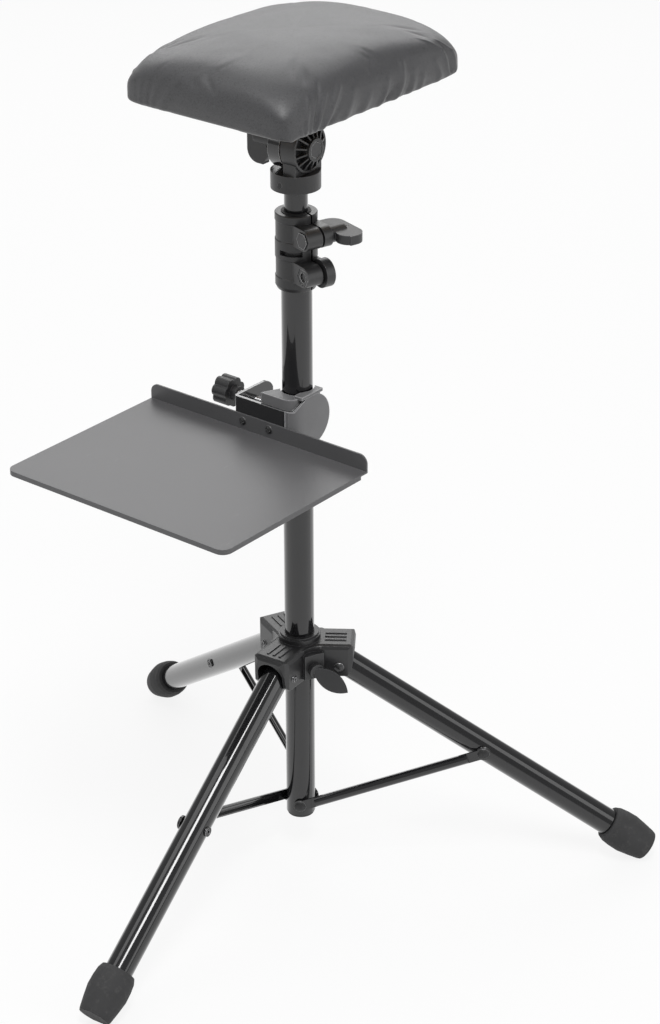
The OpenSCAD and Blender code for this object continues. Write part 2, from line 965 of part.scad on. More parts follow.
module hub_body() {
    color([0.12, 0.12, 0.13])
    difference() {
        union() {
            difference() {
                union() {
                    translate([0, 0, hub_top_z - web_depth])
                        linear_extrude(height = web_depth - web_drop)
                            hub_deck();
                    for (i = [0:2])
                        at_leg(i)
                            hub_arm();
                }
                hub_hollows();
            }
            translate([0, 0, hub_bottom_z - sleeve_drop])
                cylinder(r = hub_bore_r + sleeve_wall,
                    h = arm_below + arm_above + sleeve_drop - 2 * web_drop);
            translate([0, 0, hub_top_z - arm_round])
                cylinder(r = hub_ring_d / 2, h = hub_ring_h + arm_round - ring_lip);
            translate([0, 0, hub_top_z])
                cylinder(r = hub_ring_d / 2 - ring_lip, h = hub_ring_h);
            rotate([0, 0, leg_turn + boss_turn])
                translate([0, -boss_w / 2, boss_z - boss_w / 2])
                    cube([boss_out, boss_w, hub_top_z - web_drop - 2 * web_bite - boss_z
                        + boss_w / 2 - web_depth / 2]);
        }
        for (i = [0:2]) {
            leg_hollow(i);
            at_leg(i)
                translate([pivot_r, arm_w / 2 + over, pivot_z])
                    rotate([90, 0, 0])
                        cylinder(r = pin_r + fit, h = arm_w + 2 * over);
        }
        translate([0, 0, hub_bottom_z - sleeve_drop - over])
            cylinder(r = hub_bore_r,
                h = arm_below + arm_above + sleeve_drop + hub_ring_h + 2 * over);
        rotate([0, 0, leg_turn + boss_turn])
            translate([0, 0, boss_z])
                rotate([0, 90, 0]) {
                    cylinder(r = stud_r + fit, h = boss_out + over);
                    cylinder(r = brake_r + fit, h = mast_r + fit + brake_t + gap);
                    translate([0, 0, boss_out - insert_len])
                        cylinder(r = insert_r, h = insert_len + over);
                }
    }
}

// Threaded insert in the hub's boss
module hub_insert() {
    color([0.75, 0.6, 0.3])
    rotate([0, 0, leg_turn + boss_turn])
        translate([boss_out - insert_len, 0, boss_z])
            rotate([0, 90, 0])
                tube(insert_r - fit, stud_r + fit, insert_len);
}

// Shoe that the wing screw presses on the mast
module hub_brake_pad() {
    color([0.05, 0.05, 0.05])
    rotate([0, 0, leg_turn + boss_turn])
        translate([mast_r + fit, 0, boss_z])
            rotate([0, 90, 0])
                cylinder(r = brake_r, h = brake_t);
}

module hub_wing_screw() {
    reach = mast_r + fit + brake_t + gap;
    color([0.15, 0.15, 0.16])
    rotate([0, 0, leg_turn + boss_turn])
        translate([reach, 0, boss_z])
            rotate([0, 90, 0]) {
                cylinder(r = stud_r, h = boss_out + gap - reach + leaf_hub_h / 2);
                translate([0, 0, boss_out + gap - reach])
                    cylinder(r = leaf_hub_r, h = leaf_hub_h);
                translate([0, 0, boss_out + gap - reach + leaf_hub_h / 2])
                    rotate([0, 0, -leaf_drop])
                        rotate([leaf_slant, 0, 0])
                            linear_extrude(height = leaf_t)
                                leaf();
            }
}

// Leaf with pointed ends, its root near the screw's axis
module leaf() {
    chord = leaf_len / 2;
    bow = leaf_w / 2;
    r = (chord * chord + bow * bow) / (2 * bow);
    translate([0, chord - leaf_hub_r / 2])
        intersection() {
            translate([bow - r, 0])
                circle(r = r);
            translate([r - bow, 0])
                circle(r = r);
        }
}

module leg_bolts() {
    color([0.45, 0.45, 0.46])
    for (i = [0:2])
        at_leg(i)
            translate([pivot_r, arm_w / 2, pivot_z])
                rotate([90, 0, 0]) {
                    cylinder(r = pin_r, h = arm_w);
                    mirror([0, 0, 1])
                        difference() {
                            dome(pin_head_r, pin_head_h);
                            translate([0, 0, pin_head_h / 2])
                                cylinder(r = pin_drive_r, h = pin_head_h, $fn = 6);
                        }
                }
}

module leg_nuts() {
    color([0.45, 0.45, 0.46])
    for (i = [0:2])
        at_leg(i)
            translate([pivot_r, -arm_w / 2, pivot_z])
                rotate([90, 0, 0])
                    dome(nut_dome_r, pin_head_h);
}

module leg_tube(i) {
    color([0.09, 0.09, 0.1])
    leg_frame(i)
        difference() {
            translate([0, 0, -leg_inner])
                tube(leg_r, leg_r - leg_wall, leg_len - foot_seat + leg_inner);
            rotate([90, 0, 0])
                cylinder(r = pin_r + fit, h = 2 * leg_d, center = true);
            translate([0, 0, brace_on_leg])
                rotate([90, 0, 0])
                    cylinder(r = rivet_shank_r, h = 2 * leg_d, center = true);
        }
}

// Plug in the top of a leg that bears on the pivot bolt
module leg_plug(i) {
    color([0.1, 0.1, 0.1])
    leg_frame(i)
        difference() {
            translate([0, 0, -leg_inner])
                cylinder(r = leg_r - leg_wall - fit, h = leg_inner + plug_below);
            rotate([90, 0, 0])
                cylinder(r = pin_r + fit, h = 2 * leg_d, center = true);
        }
}

// Barrel-shaped rubber foot, cut flat by the floor
module leg_foot(i) {
    belly = foot_d / 2;
    start = leg_len - foot_len;
    color([0.16, 0.16, 0.16])
    difference() {
        leg_frame(i)
            rotate_extrude()
                polygon(concat(
                    [[leg_r + fit, start]],
                    [for (p = foot_upper_shares)
                        [foot_rim_r + (belly - foot_rim_r) * p[1], start + foot_len * p[0]]],
                    [for (p = foot_lower_shares)
                        [foot_end_r + (belly - foot_end_r) * p[1], start + foot_len * p[0]]],
                    [
                        [0, leg_len],
                        [0, leg_len - foot_seat],
                        [leg_r + fit, leg_len - foot_seat]
                    ]
                ));
        translate([-2 * leg_len, -2 * leg_len, -foot_d])
            cube([4 * leg_len, 4 * leg_len, foot_d]);
    }
}

// Rivet through a leg, its tail on the side away from the brace
module leg_rivet(i) {
    color([0.5, 0.5, 0.5])
    leg_frame(i)
        translate([0, -leg_r, brace_on_leg])
            rotate([-90, 0, 0])
                difference() {
                    union() {
                        cylinder(r = rivet_shank_r - fit, h = leg_d);
                        translate([0, 0, leg_d])
                            cylinder(r = tail_r, h = tail_h);
                    }
                    translate([0, 0, leg_d - over])
                        cylinder(r = tail_bore_r, h = tail_h + 2 * over);
                }
}

// Half-round pressed brace with flat round tabs
module brace(i) {
    bar_from = brace_tab_len;
    bar_to = brace_len - brace_tab_len;
    color([0.1, 0.1, 0.11])
    brace_frame(i)
        translate([0, -brace_off, 0])
            difference() {
                union() {
                    for (x = [0, brace_len])
                        translate([x, 0, 0])
                            rotate([90, 0, 0])
                                cylinder(r = brace_tab_r, h = brace_t);
                    translate([0, -brace_t, -brace_bar_r])
                        cube([brace_len, brace_t, 2 * brace_bar_r]);
                    intersection() {
                        translate([bar_from, 0, 0])
                            rotate([0, 90, 0])
                                cylinder(r = brace_bar_r, h = bar_to - bar_from);
                        translate([0, -brace_bar_r, -brace_bar_r])
                            cube([brace_len, brace_bar_r, 2 * brace_bar_r]);
                    }
                }
                translate([bar_from + brace_t, 0, 0])
                    rotate([0, 90, 0])
                        cylinder(r = brace_bar_r - brace_t, h = bar_to - bar_from - 2 * brace_t);
                for (x = [0, brace_len])
                    translate([x, over, 0])
                        rotate([90, 0, 0])
                            cylinder(r = rivet_shank_r + fit, h = brace_t + 2 * over);
            }
}

// Head, shank and spacer of the rivet at a brace's outer end
module brace_rivet(i) {
    spacer_from = leg_r + gap;
    color([0.16, 0.16, 0.17])
    brace_frame(i)
        translate([brace_len, -spacer_from, 0])
            rotate([90, 0, 0]) {
                cylinder(r = brace_tab_r, h = brace_off - fit - spacer_from);
                cylinder(r = rivet_shank_r, h = brace_off + brace_t + fit - spacer_from);
                translate([0, 0, brace_off + brace_t + fit - spacer_from])
                    dome(rivet_head_r, rivet_head_h);
            }
}

// Rubber sleeve between the tray clamp and the mast
module clamp_sleeve() {
    color([0.04, 0.04, 0.04])
    translate([0, 0, clamp_z - sleeve_h / 2])
        tube(sleeve_r, mast_r + fit, sleeve_h);
}

// Plan of the strap, open at the back
module strap_plan() {
    difference() {
        bracket_room(0);
        bracket_room(strap_t);
    }
}

// The bracket's outline inset by a distance, open at the back
module bracket_room(inset) {
    left = bracket_left + inset;
    right = bracket_right - inset;
    front = inset - bracket_front;
    rl = max(bend_left - inset, fit);
    rr = bend_right - inset;
    difference() {
        translate([left, front])
            square([right - left, arm_back - front + (inset > 0 ? over : 0)]);
        corner_cut([left, front], rl, [1, 1]);
        corner_cut([right, front], rr, [-1, 1]);
    }
}

// What a rounded corner leaves off: the square at a corner less its circle
module corner_cut(p, r, dir) {
    translate(p)
        difference() {
            translate([dir[0] > 0 ? -fit : -r, dir[1] > 0 ? -fit : -r])
                square(r + fit);
            translate([dir[0] * r, dir[1] * r])
                circle(r = r);
        }
}

// The right arm seen from the side: the strap's height in front, ending in a tall disc
module right_arm_side(grow) {
    translate([-bracket_front - over, -plate_low])
        square([bracket_front + over + arm_end_y, plate_low + plate_high]);
    translate([arm_end_y, arm_end_up])
        circle(r = arm_end_r + grow);
}

// The left arm seen from the side: level to its end, with the upper corner rounded
module left_arm_side() {
    front = -bracket_front - over;
    tall = plate_low + plate_high;
    translate([front, -plate_low])
        square([arm_back + over - front, tall - arm_corner]);
    translate([front, -plate_low])
        square([arm_back + over - arm_corner - front, tall]);
    translate([arm_back + over - arm_corner, plate_high - arm_corner])
        circle(r = arm_corner);
}

// All that the strap may fill, as its two arms are seen from the side
module strap_side() {
    translate([0, 0, clamp_z])
        rotate([90, 0, 90])
            linear_extrude(height = bracket_right + over)
                right_arm_side(0);
    translate([bracket_left - over, 0, clamp_z])
        rotate([90, 0, 90])
            linear_extrude(height = over - bracket_left)
                left_arm_side();
}

// Thin shell of the moulded seat over the right arm's outside
module cradle_cheek() {
    intersection() {
        translate([0, 0, clamp_z - 2 * arm_end_r])
            linear_extrude(height = 4 * arm_end_r)
                intersection() {
                    difference() {
                        bracket_room(-cheek_t);
                        bracket_room(-fit);
                    }
                    translate([bracket_right - bend_right, gap - bracket_front])
                        square([2 * bend_right, bracket_front + arm_back]);
                }
        translate([0, 0, clamp_z])
            rotate([90, 0, 90])
                linear_extrude(height = bracket_w)
                    right_arm_side(cheek_bite);
    }
}

module tray_bracket() {
    color([0.13, 0.13, 0.14])
    difference() {
        union() {
            intersection() {
                translate([0, 0, clamp_z - 2 * arm_end_r])
                    linear_extrude(height = 4 * arm_end_r)
                        strap_plan();
                strap_side();
            }
            translate([bracket_left - weld_nut_t, 0, clamp_z])
                rotate([0, 90, 0])
                    hex_bar(weld_nut_af, weld_nut_t + fit);
        }
        translate([bracket_left - weld_nut_t - over, 0, clamp_z])
            rotate([0, 90, 0])
                cylinder(r = screw_d / 2 + fit, h = weld_nut_t + strap_t + 2 * over);
        for (s = [-1, 1])
            translate([tray_shift + s * flange_screw_gap / 2, 0, tray_z + flange_screw_up])
                rotate([90, 0, 0])
                    cylinder(r = m4_r + fit, h = bracket_front + over);
    }
}

// Moulded seat that holds the sleeve against the bracket's front and right arm
module clamp_cradle() {
    color([0.3, 0.3, 0.3])
    difference() {
        union() {
            translate([0, 0, clamp_z - cradle_low])
                linear_extrude(height = cradle_low + arm_end_up + arm_end_r)
                    intersection() {
                        bracket_room(strap_t);
                        cradle_plan();
                    }
            translate([bracket_right - strap_t - 2 * cradle_lip_out, -cradle_lip_l / 2 + arm_end_y,
                    clamp_z + arm_end_up + arm_end_r])
                cube([strap_t + 3 * cradle_lip_out, cradle_lip_l, cradle_lip_h]);
            cradle_cheek();
        }
        translate([0, 0, clamp_z - 2 * cradle_low])
            cylinder(r = sleeve_r + gap, h = 4 * cradle_low);
        for (s = [-1, 1])
            translate([tray_shift + s * flange_screw_gap / 2, 0, tray_z + flange_screw_up])
                rotate([90, 0, 0])
                    cylinder(r = m4_nut_af, h = bracket_front + over);
    }
}

module cradle_plan() {
    polygon([
        [-cradle_left, -bracket_front],
        [bracket_right, -bracket_front],
        [bracket_right, cradle_back],
        [sleeve_r / 2, cradle_back],
        [0, 0],
        [-cradle_wing, -foot_pad_r - gap]
    ]);
}

module tray_outline(inset) {
    front = -bracket_front - tray_d + inset;
    difference() {
        translate([tray_shift - tray_w / 2 + inset, front])
            square([tray_w - 2 * inset, tray_d - inset]);
        corner_cut([tray_shift - tray_w / 2 + inset, front], tray_round - inset, [1, 1]);
        corner_cut([tray_shift + tray_w / 2 - inset, front], tray_round - inset, [-1, 1]);
    }
}

// Sheet tray with a down-turned rim on three sides and a rear flange turned up
module tray_plate() {
    color([0.4, 0.4, 0.41])
    difference() {
        union() {
            translate([0, 0, tray_z - sheet_t])
                linear_extrude(height = sheet_t)
                    tray_outline(0);
            translate([0, 0, tray_z - rim_h])
                linear_extrude(height = rim_h)
                    difference() {
                        tray_outline(0);
                        tray_outline(sheet_t);
                        translate([tray_shift, -bracket_front])
                            square([tray_w + over, 2 * tray_round], center = true);
                    }
            translate([tray_shift, -bracket_front, tray_z - sheet_t])
                rotate([90, 0, 0])
                    linear_extrude(height = sheet_t)
                        flange_outline();
        }
        for (s = [-1, 1])
            translate([tray_shift + s * flange_screw_gap / 2, over - bracket_front,
                    tray_z + flange_screw_up])
                rotate([90, 0, 0])
                    cylinder(r = m4_r + fit, h = sheet_t + 2 * over);
    }
}

module flange_outline() {
    top = flange_h + sheet_t;
    translate([-tray_w / 2, 0])
        square([tray_w, top - flange_round]);
    translate([flange_round - tray_w / 2, 0])
        square([tray_w - 2 * flange_round, top]);
    for (s = [-1, 1])
        translate([s * (tray_w / 2 - flange_round), top - flange_round])
            circle(r = flange_round);
}

// Pan-head screws through the flange and the bracket
module tray_screws() {
    color([0.2, 0.2, 0.21])
    for (s = [-1, 1])
        translate([tray_shift + s * flange_screw_gap / 2, -bracket_front - sheet_t,
                tray_z + flange_screw_up])
            rotate([90, 0, 0]) {
                difference() {
                    dome(m4_head_r, m4_head_h);
                    for (k = [0, 1])
                        rotate([0, 0, k * 90])
                            translate([-m4_r, -m4_head_h / 4, m4_head_h / 2])
                                cube([2 * m4_r, m4_head_h / 2, m4_head_h]);
                }
                mirror([0, 0, 1])
                    cylinder(r = m4_r, h = sheet_t + strap_t + m4_nut_h + gap);
            }
}

module tray_nuts() {
    color([0.6, 0.6, 0.6])
    for (s = [-1, 1])
        translate([tray_shift + s * flange_screw_gap / 2, strap_t - bracket_front,
                tray_z + flange_screw_up])
            rotate([-90, 0, 0])
                difference() {
                    hex_bar(m4_nut_af, m4_nut_h);
                    translate([0, 0, -over])
                        cylinder(r = m4_r + fit, h = m4_nut_h + 2 * over);
                }
}

// Pressure foot on the clamp screw's end, hollowed to the sleeve
module clamp_foot() {
    color([0.1, 0.1, 0.1])
    difference() {
        translate([-foot_back, 0, clamp_z])
            rotate([0, 90, 0])
                cylinder(r1 = foot_neck_r, r2 = foot_pad_r, h = foot_back - sleeve_r / 2);
        translate([0, 0, clamp_z - 2 * foot_pad_r])
            cylinder(r = sleeve_r + gap, h = 4 * foot_pad_r);
        translate([-foot_back - over, 0, clamp_z])
            rotate([0, 90, 0])
                cylinder(r = screw_d / 2 + fit, h = foot_pad_bore + over);
    }
}

module clamp_screw() {
    color([0.78, 0.78, 0.8])
    translate([-screw_back, 0, clamp_z])
        rotate([0, 90, 0])
            cylinder(r = screw_d / 2, h = screw_back - foot_back + foot_pad_bore - gap);
}

// Lobed knob moulded on the clamp screw
module clamp_knob() {
    color([0.15, 0.15, 0.16])
    difference() {
        translate([-knob_back, 0, clamp_z])
            rotate([0, 90, 0]) {
                linear_extrude(height = knob_star_t) {
                    circle(r = knob_core_r);
                    for (k = [0:knob_lobes - 1])
                        rotate(k * 360 / knob_lobes)
                            translate([knob_lobe_at, 0])
                                circle(r = knob_lobe_r);
                }
                cylinder(r = knob_neck_r, h = knob_star_t + knob_neck_l);
            }
        translate([-screw_back, 0, clamp_z])
            rotate([0, 90, 0])
                cylinder(r = screw_d / 2 + fit, h = screw_back);
        translate([-knob_back - over, 0, clamp_z])
            rotate([0, 90, 0])
                cylinder(r = recess_r, h = recess_t + over);
    }
}

mast_tube();
mast_plug();
brace_mast_rivets();
collar_body();
post_bush();
collar_hex_bolt();
collar_knob();
collar_pinch_bolt();
collar_pinch_nut();
post_guide();
inner_post();
head_socket();
head_post_pin();
tilt_bolt();
tilt_washer();
tilt_knob();
head_bracket();
bracket_screws();
base_board();
pad_foam();
pad_cover();
hub_body();
leg_bolts();
leg_nuts();
hub_insert();
hub_brake_pad();
hub_wing_screw();
leg_tube(0);  // leg_tube_a
leg_tube(1);  // leg_tube_b
leg_tube(2);  // leg_tube_c
leg_plug(0);  // leg_plug_a
leg_plug(1);  // leg_plug_b
leg_plug(2);  // leg_plug_c
leg_foot(0);  // leg_foot_a
leg_foot(1);  // leg_foot_b
leg_foot(2);  // leg_foot_c
leg_rivet(0);  // leg_rivet_a
leg_rivet(1);  // leg_rivet_b
leg_rivet(2);  // leg_rivet_c
brace(0);  // brace_a
brace(1);  // brace_b
brace(2);  // brace_c
brace_rivet(0);  // brace_rivet_a
brace_rivet(1);  // brace_rivet_b
brace_rivet(2);  // brace_rivet_c
clamp_sleeve();
clamp_cradle();
tray_bracket();
tray_plate();
tray_screws();
tray_nuts();
clamp_foot();
clamp_screw();
clamp_knob();
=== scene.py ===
"""Looks of the folding arm rest stand: lacquered tubes, moulded black plastics, powder-coated tray,
rubber feet and an upholstered vinyl rest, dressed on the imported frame."""
import math

import bmesh
import bpy
import numpy as np
from mathutils import Matrix, Vector, noise


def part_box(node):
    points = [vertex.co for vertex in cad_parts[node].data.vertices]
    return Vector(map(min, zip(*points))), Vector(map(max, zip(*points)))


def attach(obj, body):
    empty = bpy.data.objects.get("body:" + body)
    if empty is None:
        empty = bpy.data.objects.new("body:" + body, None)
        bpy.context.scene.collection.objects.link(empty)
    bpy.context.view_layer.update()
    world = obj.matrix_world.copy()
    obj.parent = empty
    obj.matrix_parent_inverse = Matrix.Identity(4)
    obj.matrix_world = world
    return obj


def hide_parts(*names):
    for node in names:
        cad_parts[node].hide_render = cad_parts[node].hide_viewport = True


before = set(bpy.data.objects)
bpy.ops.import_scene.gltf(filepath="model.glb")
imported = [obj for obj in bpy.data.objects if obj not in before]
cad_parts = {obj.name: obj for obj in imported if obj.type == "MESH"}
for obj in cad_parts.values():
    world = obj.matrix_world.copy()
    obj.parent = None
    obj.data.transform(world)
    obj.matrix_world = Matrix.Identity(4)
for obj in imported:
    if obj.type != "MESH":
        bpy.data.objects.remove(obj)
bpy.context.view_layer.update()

bl_info = {
    "name": "Folding arm rest stand",
    "version": (1, 0, 0),
    "blender": (4, 5, 0),
    "location": "View3D > Sidebar > Arm rest",
    "description": "Dresses the packed arm rest stand with finishes, upholstery and studio light",
    "category": "Object",
}

MM = 0.001
WHITE = (1.0, 1.0, 1.0, 1.0)
REST_LOW, REST_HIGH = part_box("pad_cover")
SCREW_LOW, SCREW_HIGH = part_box("clamp_screw")
LEG_NAMES = ("a", "b", "c")


# Shader maths

class Field:
    """A shader socket that Python's operators combine through Math nodes."""

    def __init__(self, wiring, socket):
        self.wiring = wiring
        self.socket = socket

    def _join(self, operation, first, second):
        return self.wiring.node(
            "ShaderNodeMath", {"operation": operation}, {0: first, 1: second}
        )

    def __add__(self, other):
        return self._join("ADD", self, other)

    def __radd__(self, other):
        return self._join("ADD", other, self)

    def __sub__(self, other):
        return self._join("SUBTRACT", self, other)

    def __rsub__(self, other):
        return self._join("SUBTRACT", other, self)

    def __mul__(self, other):
        return self._join("MULTIPLY", self, other)

    def __rmul__(self, other):
        return self._join("MULTIPLY", other, self)


class Wiring:
    """A node tree that gets its nodes and links through one method."""

    def __init__(self, tree):
        self.tree = tree

    def node(self, kind, setup=None, values=None, output=0):
        """Adds a node: its settings first, then the values or links of its sockets."""
        made = self.tree.nodes.new(kind)
        for key, value in (setup or {}).items():
            if key == "stops":
                ramp = made.color_ramp
                while len(ramp.elements) < len(value):
                    ramp.elements.new(1.0)
                for element, (place, colour) in zip(ramp.elements, value):
                    element.position = place
                    element.color = colour
            else:
                setattr(made, key, value)
        for key, value in (values or {}).items():
            self.feed(made.inputs[key], value)
        return Field(self, made.outputs[output])

    def feed(self, socket, value):
        if isinstance(value, Field):
            self.tree.links.new(value.socket, socket)
        else:
            socket.default_value = value


class Finish(Wiring):
    """A procedural material on one Principled shader."""

    def __init__(self, name, **constants):
        self.material = bpy.data.materials.new(name)
        self.material.use_nodes = True
        super().__init__(self.material.node_tree)
        self.shader = self.tree.nodes["Principled BSDF"]
        self.output = self.tree.nodes["Material Output"]
        for socket, value in constants.items():
            self.shader.inputs[socket.replace("_", " ")].default_value = value

    def give(self, socket, value):
        self.feed(self.shader.inputs[socket], value)

    def place(self, scale=(1, 1, 1), turn=(0, 0, 0)):
        """Object coordinates, in metres, stretched and turned."""
        here = self.node("ShaderNodeTexCoord", output=3)
        return self.node(
            "ShaderNodeMapping", {}, {"Vector": here, "Scale": scale, "Rotation": turn}
        )

    def grain(self, scale, detail=2.0, rough=0.5, where=None, warp=0.0):
        return self.node(
            "ShaderNodeTexNoise",
            {},
            {
                "Vector": where or self.place(),
                "Scale": scale,
                "Detail": detail,
                "Roughness": rough,
                "Distortion": warp,
            },
        )

    def cells(self, scale, feature="F1", where=None):
        return self.node(
            "ShaderNodeTexVoronoi",
            {"feature": feature},
            {"Vector": where or self.place(), "Scale": scale},
        )

    def ramp(self, factor, stops):
        return self.node("ShaderNodeValToRGB", {"stops": stops}, {0: factor})

    def steps(self, factor, low, high, start=0.0, end=1.0):
        """Maps low..high of a field to start..end, clamped."""
        return self.node(
            "ShaderNodeMapRange",
            {"clamp": True},
            {0: factor, 1: low, 2: high, 3: start, 4: end},
        )

    def blend(self, factor, first, second):
        return self.node(
            "ShaderNodeMix",
            {"data_type": "RGBA"},
            {0: factor, 6: first, 7: second},
            output=2,
        )

    def bump(self, height, distance, strength=1.0, under=None):
        values = {"Height": height, "Distance": distance, "Strength": strength}
        if under is not None:
            values["Normal"] = under
        return self.node("ShaderNodeBump", {}, values)

    def soft_edges(self, radius):
        """A normal that rounds the edges off by a radius."""
        return self.node("ShaderNodeBevel", {"samples": 4}, {"Radius": radius})

    def wear_and_highlight_edges(self, radius):
        """1 on exposed edges, 0 on flats, from how far a rounded normal turns."""
        flat = self.node("ShaderNodeNewGeometry", output=1)
        turned = self.node(
            "ShaderNodeVectorMath",
            {"operation": "DOT_PRODUCT"},
            {0: self.soft_edges(radius), 1: flat},
            output=1,
        )
        return self.steps(1.0 - turned, 0.02, 0.22)


def shade(colour, factor=1.0):
    return (colour[0] * factor, colour[1] * factor, colour[2] * factor, 1.0)


# Settings

def colour_setting(name, description, default):
    return bpy.props.FloatVectorProperty(
        name=name,
        description=description,
        subtype="COLOR",
        size=3,
        min=0.0,
        max=1.0,
        default=default,
    )


def length_setting(name, description, default, low, high):
    return bpy.props.FloatProperty(
        name=name,
        description=description,
        default=default,
        min=low,
        max=high,
        subtype="DISTANCE",
    )


class ArmRestPaint(bpy.types.PropertyGroup):
    """Colours of the hard finishes"""

    lacquer: colour_setting(
        "Lacquer", "Colour of the lacquered tubes", (0.008, 0.008, 0.009)
    )
    plastic: colour_setting(
        "Plastic", "Colour of the moulded parts", (0.020, 0.020, 0.021)
    )
    coat: colour_setting(
        "Tray coat", "Colour of the tray's powder coat", (0.094, 0.094, 0.097)
    )
    rubber: colour_setting("Rubber", "Colour of the feet", (0.040, 0.040, 0.041))
    cradle: colour_setting(
        "Cradle", "Colour of the clamp's moulded seat", (0.150, 0.150, 0.154)
    )
    zinc: colour_setting("Zinc", "Colour of the bright screws", (0.66, 0.66, 0.67))


class ArmRestPad(bpy.types.PropertyGroup):
    """Shape and colour of the padded rest"""

    vinyl: colour_setting("Vinyl", "Colour of the cover", (0.054, 0.054, 0.057))
    crown_x: length_setting(
        "Crown fall, long edges",
        "How far the crown drops to the middle of the long edges",
        0.005, 0.001, 0.012,
    )
    crown_y: length_setting(
        "Crown fall, short edges",
        "How far the crown drops to the middle of the short edges",
        0.0065, 0.001, 0.014,
    )
    corner_drop: length_setting(
        "Corner drop",
        "How much farther the crown drops at the corners",
        0.024, 0.0, 0.03,
    )
    swell: length_setting(
        "Swell",
        "Farthest that the stuffed cover may move in the simulation",
        0.003, 0.0, 0.008,
    )
    fold: bpy.props.FloatProperty(
        name="Fold strength",
        description="Share of the full height of the cover's folds",
        default=1.0,
        min=0.0,
        max=1.5,
    )


class ArmRestScrew(bpy.types.PropertyGroup):
    """Thread of the clamp screw"""

    pitch: length_setting("Pitch", "Rise of the thread in one turn", 0.00125, 0.001, 0.002)
    depth: length_setting("Depth", "Depth of the thread", 0.0007, 0.0002, 0.001)


class ArmRestStage(bpy.types.PropertyGroup):
    """Camera and light"""

    focal: bpy.props.FloatProperty(
        name="Focal length",
        description="Lens length on a 36 mm sensor",
        default=95.53,
        min=20.0,
        max=300.0,
        subtype="DISTANCE_CAMERA",
    )
    turn: bpy.props.FloatProperty(
        name="Turn",
        description="Camera's turn round the mast",
        default=math.radians(38.61),
        subtype="ANGLE",
    )
    height: bpy.props.FloatProperty(
        name="Elevation",
        description="Camera's angle above the floor",
        default=math.radians(27.0),
        subtype="ANGLE",
    )
    distance: length_setting("Distance", "Camera's distance from its target", 2.37, 0.5, 10.0)
    sky: bpy.props.FloatProperty(
        name="Room light",
        description="Strength of the pale room round the stand",
        default=0.34,
        min=0.0,
        max=2.0,
    )


# Finishes

# Radii of edges: moulded or pressed ones are softened; exposed ones wear to bare steel on the
# lacquer, and carry a painted highlight on the plastics
FINE_EDGE = 0.4 * MM
SOFT_EDGE = 0.6 * MM
ROUND_EDGE = 1.0 * MM
WEAR_AND_HIGHLIGHT_EDGE = 1.2 * MM
BARE_STEEL = (0.55, 0.55, 0.56, 1.0)
POLISHED_STEEL = (0.80, 0.80, 0.81, 1.0)
FLOOR_DUST = (0.16, 0.155, 0.15, 1.0)


def lacquer_finish(name, paint, brightened=0.0):
    """Gloss black lacquer over steel: faint orange peel, rubs along the tube, worn edges."""
    f = Finish(name, Coat_Roughness=0.03, Coat_IOR=1.5, Specular_IOR_Level=0.25)
    peel = f.grain(240.0, 2.0, 0.5)
    cloud = f.grain(18.0, 3.0, 0.6)
    rubs = f.steps(f.grain(90.0, 4.0, 0.75, f.place((1, 1, 0.06)), 0.4), 0.62, 0.78)
    body = f.blend(cloud, shade(paint.lacquer, 0.8), shade(paint.lacquer, 1.35))
    if brightened:
        body = f.blend(f.wear_and_highlight_edges(WEAR_AND_HIGHLIGHT_EDGE) * brightened, body, BARE_STEEL)
    f.give("Base Color", body)
    f.give("Roughness", 0.13 + 0.05 * cloud + 0.10 * rubs)
    f.give("Coat Weight", 1.0 - 0.4 * rubs)
    under = f.soft_edges(FINE_EDGE) if brightened else None
    f.give("Normal", f.bump(peel, 0.02 * MM, 0.4, under))
    return f.material


def plastic_finish(name, colour, rough=0.40, gloss=0.0, brightened=0.55):
    """Moulded plastic: spark-eroded texture, smoother edges with a painted highlight, faint flow
    clouds.
    """
    f = Finish(name, Specular_IOR_Level=0.5, Coat_Roughness=0.25)
    spark = f.grain(2600.0, 2.0, 0.6)
    cloud = f.grain(30.0, 3.0, 0.55)
    edge_highlight = f.wear_and_highlight_edges(WEAR_AND_HIGHLIGHT_EDGE)
    body = f.blend(cloud, shade(colour, 0.82), shade(colour, 1.25))
    # Base colour up to six times lighter on the edges: a painted highlight
    f.give("Base Color", f.blend(edge_highlight * brightened, body, shade(colour, 6.0)))
    f.give("Roughness", rough + 0.08 * cloud - 0.10 * edge_highlight)
    f.give("Coat Weight", gloss * (0.6 + 0.4 * cloud))
    f.give("Normal", f.bump(spark, 0.05 * MM, 0.45, f.soft_edges(SOFT_EDGE)))
    return f.material


def tray_finish(paint):
    """Powder coat on sheet: fine pimpled texture, small rubs from what stands on it, a painted
    highlight on the edges.
    """
    f = Finish("tray_powder_coat", Specular_IOR_Level=0.5)
    pimple = f.cells(1500.0, "SMOOTH_F1")
    cloud = f.grain(9.0, 4.0, 0.6)
    rubs = f.steps(f.grain(60.0, 6.0, 0.8, f.place((1, 0.2, 1), (0, 0, 0.6))), 0.63, 0.75)
    edge_highlight = f.wear_and_highlight_edges(0.8 * MM)
    body = f.blend(cloud, shade(paint.coat, 0.88), shade(paint.coat, 1.14))
    body = f.blend(rubs * 0.25, body, shade(paint.coat, 1.9))
    # Coat up to twice as light on the edges: a painted highlight
    f.give("Base Color", f.blend(edge_highlight * 0.35, body, shade(paint.coat, 2.0)))
    f.give("Roughness", 0.38 + 0.08 * cloud - 0.06 * rubs)
    f.give("Normal", f.bump(pimple, 0.07 * MM, 0.5, f.soft_edges(SOFT_EDGE)))
    return f.material


